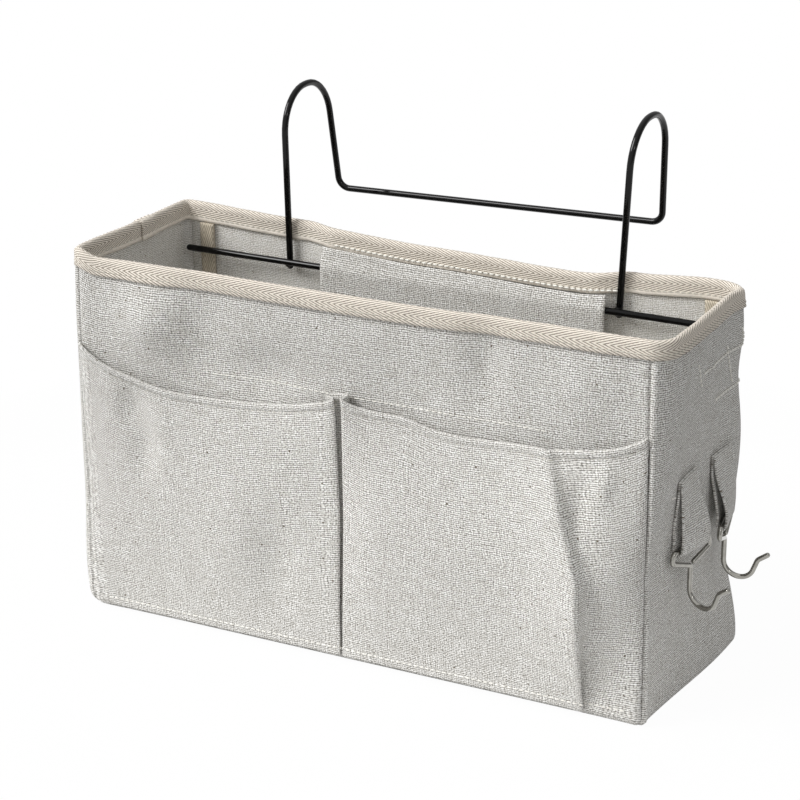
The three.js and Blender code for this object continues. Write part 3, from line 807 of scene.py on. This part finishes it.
# In millimetres, from left to right: x and layer at the base; x and distance from the wall half way up; and
# x, distance and height at the mouth. The two ends follow the seams.
STOPS = [
    (-148, 0, -148, 0, -148, 0, 140.0), (-140, 1, -141, 2.4, -143.4, 1.4, 138.6),
    (-122, 2, -123, 5, -127.2, 3, 130.6), (-104, 2, -105, 5.8, -109, 2.6, 126.0),
    (-90, 2, -91, 6, -95.6, 1.8, 123.2), (-66, 2, -68, 6.2, -72.5, 1.3, 122.7),
    (-32, 2, -33, 6, -36.1, 1.8, 125.4), (-12, 2, -12.5, 6, -12.9, 4.8, 131.7),
    (-7.7, 2, -6.4, 5.8, -8.2, 5.6, 133.8), (-5.3, 2, -3.2, 4.8, -6.1, 4.8, 134.5),
    (-5.6, 1, -3.8, 3, -6.5, 3, 135.0), (-14, 1, -12.5, 1.2, -10.9, 1.3, 135.1),
    (-14, 0, -13, 0.3, -11.8, 0.3, 135.1), (-5, 0, -4.5, 0, -6.5, 0, 135.8),
    (4, 0, 2.5, 0.3, -1.6, 0.3, 136.6), (4, 1, 2.2, 1.2, -0.8, 1.3, 136.6),
    (-4.6, 1, -1.5, 4, -1.9, 5, 136.2), (-4.8, 2, -1.6, 5.6, -2.3, 6.8, 136.2),
    (-2.5, 2, 0.6, 6, 0.2, 6.6, 135.3), (2, 2, 4, 6.3, 2.3, 5.8, 133.8),
    (13, 2, 13, 8.2, 10.4, 3.6, 131.3), (32, 2, 31, 8.0, 27.6, 2.2, 130.8),
    (44, 2, 44, 7.5, 37.4, 1.6, 127.4), (60, 2, 60, 6.9, 52.3, 1.3, 125.6),
    (78, 2, 78, 6.6, 67.1, 1.4, 126.2), (96, 2, 96, 8.4, 82.2, 2.2, 127.3),
    (114, 2, 115.5, 16.4, 94, 4.6, 128.9), (120, 2, 122.2, 19.4, 98.6, 5, 128.0),
    (120.2, 1, 122.7, 14.8, 99.9, 3.0, 128.2), (110, 1, 124.8, 10.6, 103.6, 1.8, 128.6),
    (110, 0, 133, 8.6, 120, 3.2, 131.6), (128, 0, 141.4, 4.8, 134.6, 2.0, 135.5),
    (148, 0, 148, 0, 148, 0, 141.0),
]
LAST_STOP = len(STOPS) - 1
HALF_WAY = 0.56
DRAWN_IN = 1.35


@lru_cache(maxsize=None)
def stop_at(index, opened):
    """A stop at a level: x, distance from the wall, height."""
    base_x, layer, half_x, half_out, mouth_x, mouth_out, mouth_z = (value * MM for value in STOPS[index])
    height = POCKET_LOW + (mouth_z - POCKET_LOW) * opened
    if index == 0:
        return Vector((left_front_seam(height), 0, height))
    if index == LAST_STOP:
        return Vector((right_front_seam(height), 0, height))
    folded = Vector((base_x, layer * LAYER / MM))
    half = Vector((half_x, half_out))
    mouth = Vector((mouth_x, mouth_out))
    if opened < HALF_WAY:
        spot = folded.lerp(half, math.sin(math.pi / 2 * opened / HALF_WAY))
        return Vector((spot.x, spot.y, height))
    share = (opened - HALF_WAY) / (1 - HALF_WAY)
    return Vector((half.lerp(mouth, share).x, half.lerp(mouth, share ** DRAWN_IN).y, height))


def strip_line(place, opened):
    """The strip's line at a level: place counts the stops, and bends run between the middles of legs."""
    index = min(max(round(place), 1), LAST_STOP - 1)
    before, here, after = (stop_at(index + step, opened) for step in (-1, 0, 1))
    low, start = (0, before) if index == 1 else (index - 0.5, before.lerp(here, 0.5))
    high, end = (LAST_STOP, after) if index == LAST_STOP - 1 else (index + 0.5, here.lerp(after, 0.5))
    share = (place - low) / (high - low)
    return start.lerp(here, share).lerp(here.lerp(end, share), share)


FLAT = [0.0]
for index in range(LAST_STOP):
    legs = [(stop_at(index + 1, level) - stop_at(index, level)).length for level in (0, HALF_WAY, 1)]
    FLAT.append(FLAT[-1] + sum(legs) / 3)
STRIP = FLAT[-1]
print("pocket strip, flat:", round(STRIP / MM), "mm long")

# %% Pocket strip
POCKET_DENTS = dents(on_front, [
    (-117, 112, 8, 13, -3.6), (-110, 92, 8, 14, -3.4), (-100, 104, 7, 24, 0.9), (-38, 48, 12, 22, -2.6),
    (115, 103, 5, 15, -2.2), (126, 117, 4, 10, 1.8), (-62, 52, 16, 24, 1.4), (-16, 80, 20, 26, -2.0),
    (60, 75, 40, 45, 1.2),
])
DENT_FADE = 4 * MM
HEM_LINE = POCKET_TALL - HEM - 0.6 * MM
HEM_SUNK = 0.7
HEM_GROOVE = 0.8 * MM
STRIP_PROUD = 0.9 * MM
STRIP_CLOTH = 0.8 * MM
STRIP_GRID = 1.3 * MM
NEXT_STOP = 0.02


def pocket(across, up, inward=0.0):
    """A place on the strip's face: across it, up it, and behind it."""
    opened = round(min(max(up / POCKET_TALL, 0), 1), 4)
    index = min(max(bisect_right(FLAT, across) - 1, 0), LAST_STOP - 1)
    place = index + (across - FLAT[index]) / (FLAT[index + 1] - FLAT[index])
    spot = strip_line(place, opened)
    heading = (strip_line(place + NEXT_STOP, opened) - strip_line(place - NEXT_STOP, opened)).xy.normalized()
    x = spot.x + heading.y * inward
    out = spot.y - heading.x * inward
    sunk = HEM_SUNK * math.exp(-((up - HEM_LINE) / HEM_GROOVE) ** 2)
    out += HEM_PROUD * (smooth(up, HEM_LINE - HEM_GROOVE / 2, HEM_LINE + HEM_GROOVE) - sunk)
    out = max(out + dented(POCKET_DENTS, x, spot.z) * min(out / DENT_FADE, 1), 0)
    on_wall = wall(x, spot.z, -STRIP_PROUD)
    return Vector((on_wall.x, on_wall.y - out, on_wall.z))


HEM_TURN = math.pi * HEM_ROUND
STRIP_TALL = POCKET_TALL + HEM_TURN + HEM


def hemmed(across, up):
    """The strip with its top edge turned in."""
    over = up - POCKET_TALL
    if over <= 0:
        return pocket(across, up)
    if over < HEM_TURN:
        angle = over / HEM_ROUND
        top = pocket(across, POCKET_TALL, HEM_ROUND * (1 - math.cos(angle)))
        return top + Vector((0, 0, HEM_ROUND * math.sin(angle)))
    return pocket(across, POCKET_TALL - (over - HEM_TURN), 2 * HEM_ROUND)


sew("pocket_strip", (STRIP, STRIP_TALL), STRIP_GRID, hemmed, linen, "pocket_panel", STRIP_CLOTH)

# %% [markdown]
# ## Rod sleeve and facings
# The sleeve is a patch of linen sewn to the back wall above and below the rod, so that it runs in front of
# it. Two plain patches face the front wall and the right wall; their stitches come through to the outside.

# %% Sleeve and facings
SLEEVE_LOW, SLEEVE_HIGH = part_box("rod_sleeve")
SLEEVE_CLEAR = (ROD_HIGH.y - ROD_LOW.y) / 2 + 0.4 * MM + LINEN
SLEEVE_SLOPE = 0.36
SLEEVE_HANG = 0.03
SLEEVE_EDGE = 3 * MM
SLEEVE_SEAM = 6 * MM
SLEEVE_BLEND = 1.5 * MM
PATCH_DEPTH = WALL + 0.3 * MM + LINEN


def sleeved(across, up):
    """In front of the rod, straight down below it, and back to the wall at its lower seam."""
    x, z = SLEEVE_HIGH.x - across, SLEEVE_LOW.z + up
    on_lining = wall(on_back(x) if x > 0 else -on_back(-x), z, PATCH_DEPTH)
    over_rod = max(on_lining.z - ROD_HIGH.z, 0)
    under_rod = max(ROD_LOW.z - on_lining.z, 0)
    before_rod = ROD_Y - SLEEVE_CLEAR + SLEEVE_SLOPE * over_rod + SLEEVE_HANG * under_rod
    gap = (on_lining.y - before_rod) * smooth(up, 0, SLEEVE_SEAM)
    lift = (gap + math.sqrt(gap * gap + SLEEVE_BLEND * SLEEVE_BLEND)) / 2
    return Vector((on_lining.x, on_lining.y - lift, on_lining.z))


sleeve_size = (SLEEVE_HIGH.x - SLEEVE_LOW.x - SLEEVE_EDGE, SLEEVE_HIGH.z - SLEEVE_LOW.z)
sew("rod_sleeve_cloth", sleeve_size, FINE, sleeved, linen, "rod_sleeve", LINEN,
    offset=1.0)

FACING_CLOTH = 0.8 * MM
FACING_SUNK = 0.4 * MM
FACING_RAISED = 0.6 * MM
FACING_EDGE = 3 * MM
FACING_GRID = 3 * MM


def facing(name, node, start, wide):
    base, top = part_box(node)[0].z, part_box(node)[1].z

    def faced(across, up):
        edge = min(across, wide - across, up, top - base - up)
        raised = FACING_RAISED * smooth(edge, 0, FACING_EDGE)
        return wall(start + across, base + up, PATCH_DEPTH - raised + FACING_SUNK)

    sew(name, (wide, top - base), FACING_GRID, faced, linen, node, FACING_CLOTH,
        offset=1.0)


front_low, front_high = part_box("front_facing")
facing("front_facing_cloth", "front_facing", front_low.x, front_high.x - front_low.x)
side_low, side_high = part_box("side_facing")
facing("side_facing_cloth", "side_facing", on_end(side_low.y), on_end(side_high.y) - on_end(side_low.y))

# %% [markdown]
# ## Bent wire
# A wire is bent by feeding it straight and turning it round a pin, again and again. The mesh is made the
# same way: a ring is extruded along each straight run, and spun about the middle of each bend. A curve with a
# bevel would be shorter to write, but its bends are not true arcs and its ends are flat.

# %% Bending wire
RING_SIDES = 18
BEND_STEP = math.radians(10)
SHORTEST_RUN = 0.05 * MM
SAME_PLACE = 0.001 * MM
# How far each ring of a dome lies ahead of the one before, in radii, and how much narrower it is.
DOME = ((0.5, 0.86), (0.35, 0.6))


def feed(mesh, ring, run):
    """Extrudes the ring along a straight run, and gives the new ring."""
    made = bmesh.ops.extrude_edge_only(mesh, edges=ring)["geom"]
    verts = [part for part in made if isinstance(part, bmesh.types.BMVert)]
    bmesh.ops.translate(mesh, verts=verts, vec=run)
    edges = [part for part in made if isinstance(part, bmesh.types.BMEdge)]
    return [edge for edge in edges if all(vert in verts for vert in edge.verts)]


def round_end(mesh, ring, ahead, radius):
    """Closes a ring with a low dome."""
    for share, narrow in DOME:
        ring = feed(mesh, ring, ahead * radius * share)
        verts = list({vert for edge in ring for vert in edge.verts})
        middle = sum((vert.co for vert in verts), Vector()) / len(verts)
        space = Matrix.Translation(-middle)
        bmesh.ops.scale(mesh, verts=verts, vec=(narrow, narrow, narrow), space=space)
    bmesh.ops.edgeloop_fill(mesh, edges=ring)


def bent_wire(corners, diameter):
    """A round wire through corners, each a point and the radius of the bend there."""
    mesh = bmesh.new()
    points = [Vector(point) for point, _ in corners]
    ahead = (points[1] - points[0]).normalized()
    start = Matrix.Translation(points[0]) @ ahead.to_track_quat("Z", "Y").to_matrix().to_4x4()
    made = bmesh.ops.create_circle(mesh, segments=RING_SIDES, radius=diameter / 2, matrix=start)
    first = list({edge for vert in made["verts"] for edge in vert.link_edges})
    ring, here, first_ahead = first, points[0], ahead
    for index in range(1, len(points) - 1):
        leaving = (points[index + 1] - points[index]).normalized()
        angle = ahead.angle(leaving)
        radius = corners[index][1]
        reach = radius * math.tan(angle / 2)
        begin = points[index] - ahead * reach
        if (begin - here).length > SHORTEST_RUN:
            ring = feed(mesh, ring, begin - here)
        axis = ahead.cross(leaving).normalized()
        steps = max(3, math.ceil(angle / BEND_STEP))
        spun = bmesh.ops.spin(
            mesh, geom=ring, cent=begin + axis.cross(ahead) * radius, axis=axis, angle=angle, steps=steps
        )
        ring = [part for part in spun["geom_last"] if isinstance(part, bmesh.types.BMEdge)]
        here, ahead = points[index] + leaving * reach, leaving
    ring = feed(mesh, ring, points[-1] - here)
    round_end(mesh, ring, ahead, diameter / 2)
    round_end(mesh, first, -first_ahead, diameter / 2)
    bmesh.ops.remove_doubles(mesh, verts=mesh.verts, dist=SAME_PLACE)
    bmesh.ops.recalc_face_normals(mesh, faces=mesh.faces)
    return mesh


# %% [markdown]
# ## Hanger
# One wire runs from foot to foot: up, over the rail in a half circle, down behind it and across. Its feet are
# welded to the rod that lies in the sleeve, and each weld is a small bead between the two wires.

# %% Hanger
WIRE = 2.8 * MM
PAINTED = 3.3 * MM
low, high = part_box("hanger_wire")
UPRIGHT_Y = low.y + WIRE / 2
HOOK_GAP = 40 * MM
REAR_Y = UPRIGHT_Y + HOOK_GAP + WIRE
CROSSBAR_Y = high.y - WIRE / 2
TOP_Z = high.z - WIRE / 2
FOOT_Z = low.z
CROSSBAR_RISE = 28.8 * MM
CROSSBAR_Z = ROD_Z + CROSSBAR_RISE
HANGER_X = 2 * MM
FOOT_SPACING = 179 * MM
SPLAY = 3 * MM
REAR_LEAN = 3.2 * MM
CROSSBAR_BEND = 6 * MM
ROD_TILT = 1.0 * MM
ROD_SHORT = 0.8 * MM
ARCH = (REAR_Y - UPRIGHT_Y) / 2
# Wire is bent one corner at a time, so the two sides differ a little: sideways, at the top and at the
# crossbar.
UNEVEN = {-1: (1.2 * MM, 0.0, -2.0 * MM), 1: (1.2 * MM, 2.6 * MM, 1.5 * MM)}


def hanger_side(side):
    sideways, top, bar = UNEVEN[side]
    foot = HANGER_X + side * FOOT_SPACING / 2
    arm = foot + side * SPLAY + sideways
    return [
        ((foot, UPRIGHT_Y, FOOT_Z), 0),
        ((arm, UPRIGHT_Y, TOP_Z + top), ARCH),
        ((arm, REAR_Y, TOP_Z + top), ARCH),
        ((arm - side * REAR_LEAN, CROSSBAR_Y, CROSSBAR_Z + bar), CROSSBAR_BEND),
    ]


mesh = bent_wire(hanger_side(-1) + hanger_side(1)[::-1], PAINTED)
piece_from(mesh, "hanger_bent_wire", black_paint, "hanger", ["hanger_wire"])

rod_left = (ROD_LOW.x + ROD_SHORT, ROD_Y, ROD_Z + ROD_TILT)
rod_right = (ROD_HIGH.x - ROD_SHORT, ROD_Y, ROD_Z)
rod = bent_wire([(rod_left, 0), (rod_right, 0)], PAINTED)
piece_from(rod, "sleeve_rod", black_paint, "hanger", ["carrier_rod"])

BEAD_SWELL = 1.02
BEAD_LUMP = 0.06
BEAD_GRAIN = 1.4 * MM
for name in ("left_weld", "right_weld"):
    low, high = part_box(name)
    bead = bmesh.new()
    bmesh.ops.create_icosphere(bead, subdivisions=3, radius=0.5)
    bmesh.ops.scale(bead, verts=bead.verts, vec=(high - low) * BEAD_SWELL)
    for vert in bead.verts:
        vert.co *= 1 + BEAD_LUMP * noise.noise(vert.co / BEAD_GRAIN)
    bmesh.ops.translate(bead, verts=bead.verts, vec=(low + high) / 2)
    piece_from(bead, f"{name}_bead", black_paint, "hanger", [name])
print("hanger is bent; its hooks rise to", round(TOP_Z / MM), "mm")

# %% [markdown]
# ## Side hooks and their tabs
# Each hook is one nickel wire: a flat ring round its bar, then a shank and a hook. Its bar hangs in a strap
# of linen that is folded over it and sewn to the right wall. The strap's loop is turned a little, in line
# with its hook's bar.

# %% Lines through a few points
class Line:
    """A polyline that can be asked for the place at a distance along it."""

    def __init__(self, points):
        self.points = points
        self.marks = [0.0]
        for before, after in zip(points, points[1:]):
            self.marks.append(self.marks[-1] + (after - before).length)
        self.length = self.marks[-1]

    def at(self, distance):
        distance = min(max(distance, 0), self.length)
        low = min(bisect_right(self.marks, distance), len(self.marks) - 1) - 1
        step = self.marks[low + 1] - self.marks[low]
        share = (distance - self.marks[low]) / step if step else 0
        return self.points[low].lerp(self.points[low + 1], share)


def rounded(points, steps):
    """A line drawn by a few points, bent smoothly between the middles of its legs."""
    line = [points[0]]
    for index in range(1, len(points) - 1):
        start = points[0] if index == 1 else points[index - 1].lerp(points[index], 0.5)
        end = points[-1] if index == len(points) - 2 else points[index].lerp(points[index + 1], 0.5)
        for step in range(1, steps + 1):
            share = step / steps
            first, second = start.lerp(points[index], share), points[index].lerp(end, share)
            line.append(first.lerp(second, share))
    return Line(line)


# %% Straps
HOOK_WIRE = 2.5 * MM
TAB_WIDE = 21 * MM
TAB_DROP = 33.5 * MM
TAB_SEWN = 6 * MM
TAB_GAP = 0.8 * MM
TAB_BEHIND, TAB_BEFORE = 0.3 * MM + LINEN / 2, 1.6 * MM + LINEN / 2
TAB_SLACK = 0.2 * MM
TAB_GRID = 1.2 * MM
LOOP = HOOK_WIRE / 2 + 0.35 * MM + LINEN / 2
LOOP_BEHIND, LOOP_BEFORE = 6 * MM, 9 * MM
LOOP_BULGE = 0.6 * MM
LOOP_STEPS = 12
LEG_STEPS = 5
END_MIDDLE = Vector(((FRONT_HALF + BACK_HALF) / 2, 0, 0))
WALL_OUT = Vector((ALONG_END.y, -ALONG_END.x, 0))
WALL_ALONG = Vector((ALONG_END.x, ALONG_END.y, 0))


def strap_line(stand_off, top_z):
    """Down behind, round the hook's bar and up in front, by distance from the wall and height."""
    sewn_z, bar_z = top_z - TAB_SEWN, top_z - TAB_DROP
    behind = [(TAB_BEHIND, top_z), (TAB_BEHIND, sewn_z), (stand_off - LOOP, bar_z + LOOP_BEHIND)]
    turns = [math.pi * (1 + step / LOOP_STEPS) for step in range(LOOP_STEPS + 1)]
    loop = [(stand_off + LOOP * math.cos(turn), bar_z + LOOP * math.sin(turn)) for turn in turns]
    before = [
        (stand_off + LOOP + LOOP_BULGE, bar_z + LOOP_BEFORE),
        (TAB_BEFORE + TAB_SLACK, sewn_z),
        (TAB_BEFORE, top_z),
    ]
    return rounded([Vector(spot) for spot in behind + loop + before], LEG_STEPS)


def hang_strap(name, place, yaw, stand_off, top_z):
    line = strap_line(stand_off, top_z)
    sewn_z, bar_z = top_z - TAB_SEWN, top_z - TAB_DROP

    def strapped(across, up):
        spot = line.at(up)
        beside = across - TAB_WIDE / 2
        hanging = smooth(sewn_z - spot.y, 0, sewn_z - bar_z - 2 * LOOP)
        flat = END_MIDDLE + WALL_ALONG * (place + beside) + Vector((0, 0, spot.y))
        sewn_on = wall(on_end(flat.y), spot.y)
        sewn_on.z = spot.y
        out = spot.x + hanging * math.tan(yaw) * beside
        return sewn_on.lerp(flat, hanging) + WALL_OUT * out

    sew(f"{name}_hook_strap", (TAB_WIDE, line.length), TAB_GRID, strapped, linen, f"{name}_hook_tab",
        LINEN, offset=0.0)


# %% Straps and hooks in place
RING_BAR = TAB_WIDE / 2 + 3 * MM
RING_SIDE = RING_BAR + 1.5 * MM
RING_CORNER = 4.5 * MM
RING_DROP = 10 * MM
RING_BEND = 2 * MM
SHANK_DROP = 29 * MM
SHANK_BEND = 8.2 * MM
HOOK_REACH = 12.5 * MM
HOOK_BEND = 6.0 * MM
LEG_X, LEG_Z = HOOK_REACH + 3.5 * MM, 9.5 * MM - SHANK_DROP
TIP_BEND = 3 * MM
TIP_X, TIP_Z = LEG_X + 4.5 * MM, LEG_Z + 3 * MM
HOOK_PLACES = {"front": (-16 * MM, math.radians(12)), "rear": (25 * MM, math.radians(-12))}


def hang_hook(name, place, yaw, stand_off, bar_z):
    hook = bent_wire([
        ((0, HOOK_WIRE, HOOK_WIRE / 2 - RING_DROP), 0),
        ((0, RING_SIDE, -RING_CORNER), RING_BEND),
        ((0, RING_BAR, 0), RING_BEND),
        ((0, -RING_BAR, 0), RING_BEND),
        ((0, -RING_SIDE, -RING_CORNER), RING_BEND),
        ((0, 0, -RING_DROP), RING_BEND),
        ((0, 0, -SHANK_DROP), SHANK_BEND),
        ((HOOK_REACH, 0, -SHANK_DROP), HOOK_BEND),
        ((LEG_X, 0, LEG_Z), TIP_BEND),
        ((TIP_X, 0, TIP_Z), 0),
    ], HOOK_WIRE)
    at_bar = END_MIDDLE + WALL_OUT * stand_off + WALL_ALONG * place + Vector((0, 0, bar_z))
    facing_out = math.atan2(WALL_OUT.y, WALL_OUT.x) - yaw
    hung = Matrix.Translation(at_bar) @ Matrix.Rotation(facing_out, 4, "Z")
    bmesh.ops.transform(hook, matrix=hung, verts=hook.verts)
    piece_from(hook, f"{name}_wire_hook", nickel, f"{name}_hook", [f"{name}_side_hook"])
    print(name, "hook hangs at", [round(x / MM, 1) for x in at_bar])


for name, (place, yaw) in HOOK_PLACES.items():
    stand_off = TAB_GAP + LINEN / 2 + LOOP + abs(math.tan(yaw)) * TAB_WIDE / 2
    top_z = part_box(f"{name}_hook_tab")[1].z
    hang_strap(name, place, yaw, stand_off, top_z)
    hang_hook(name, place, yaw, stand_off, top_z - TAB_DROP)

# %% [markdown]
# ## Stitches
# A machine stitch is a short bar of thread that dips into the cloth at both ends. Each row walks along a path
# on the cloth and lays one small stretched ball at every step, partly sunk in the surface.

# %% Stitch rows
STITCH = 2.8 * MM
STITCH_STEP = 3.0 * MM
THREAD = 0.5 * MM
THICK_THREAD = 0.9 * MM
THREAD_RISE = 0.2
OUTSIDE = 0.1 * MM


def stitch_row(mesh, path, thickness):
    """Stitches along a path of places and outward directions."""
    line = Line([place for place, _ in path])
    count = max(1, int(line.length / STITCH_STEP))
    step = line.length / count
    for index in range(count):
        distance = (index + 0.5) * step
        nearest = min(range(len(path)), key=lambda spot: abs(line.marks[spot] - distance))
        along = (line.at(distance + STITCH / 2) - line.at(distance - STITCH / 2)).normalized()
        outward = path[nearest][1]
        across = outward.cross(along).normalized()
        frame_of = Matrix((along, across, along.cross(across))).transposed()
        middle = line.at(distance) + outward * thickness * THREAD_RISE
        place = Matrix.LocRotScale(middle, frame_of, Vector((STITCH, thickness, thickness)) / 2)
        bmesh.ops.create_uvsphere(mesh, u_segments=6, v_segments=5, radius=1, matrix=place)


def on_cloth(place, spots):
    """A path over a cloth: the place of each spot, with the outward direction from its neighbours."""
    near = 0.4 * MM
    path = []
    for along, up in spots:
        sideways = place(along + near, up) - place(along - near, up)
        upward = place(along, up + near) - place(along, up - near)
        path.append((place(along, up), sideways.cross(upward).normalized()))
    return path


def between(first, last, count):
    """Spots in a row from the first to the last."""
    first, last = Vector(first), Vector(last)
    return [first.lerp(last, step / count) for step in range(count + 1)]


def level_row(start, end, height, count):
    return between((start, height), (end, height), count)


def on_outside(along, height):
    return wall(along, height, -OUTSIDE)


POCKET_ENDS = (4 * MM, STRIP - 4 * MM)
POCKET_FOOT = 4.6 * MM
RIM_ENDS = (2 * MM, ROUND)
RIM_LINE = 2.2 * MM
FRONT_ENDS = (-74 * MM, 95 * MM)
FRONT_LINE = 134.5 * MM
# The sleeve's row runs along its top edge, under the tape.
SLEEVE_ENDS = (-5.7 * MM, 146.3 * MM)
SLEEVE_LINE = 38.9 * MM
# In millimetres: y and height of each end on the right wall; and the number of spots.
SIDE_ROWS = [
    (-8, 157, 51, 157, 40), (14, 137, 51, 137, 30), (-18, 165, -8, 150.5, 20), (22, 161.5, 36, 139, 20),
    (40, 167, 48, 157, 20), (-34, 106, -27, 104, 8),
]
rows = {
    "pocket_hem_stitches": (pocket, [level_row(*POCKET_ENDS, HEM_LINE, 400)]),
    "pocket_base_stitches": (pocket, [level_row(*POCKET_ENDS, POCKET_FOOT, 400)]),
    "rim_outer_stitches": (bound, [level_row(*RIM_ENDS, RIM_LINE, 500)]),
    "rim_inner_stitches": (bound, [level_row(*RIM_ENDS, TAPE_WIDTH - RIM_LINE, 500)]),
    "front_facing_stitches": (on_outside, [level_row(*FRONT_ENDS, FRONT_LINE, 120)]),
    "side_facing_stitches": (on_outside, [
        between((on_end(y * MM), z * MM), (on_end(last_y * MM), last_z * MM), count)
        for y, z, last_y, last_z, count in SIDE_ROWS
    ]),
    "sleeve_stitches": (sleeved, [level_row(*SLEEVE_ENDS, SLEEVE_LINE, 120)]),
}
BOLD = ("side_facing_stitches", "sleeve_stitches")
WHITE = BOLD + ("front_facing_stitches", "pocket_base_stitches")
for name, (place, paths) in rows.items():
    mesh = bmesh.new()
    for spots in paths:
        stitch_row(mesh, on_cloth(place, spots), THICK_THREAD if name in BOLD else THREAD)
    piece_from(mesh, name, thread if name in WHITE else grey_thread)
print("stitch rows:", len(rows))
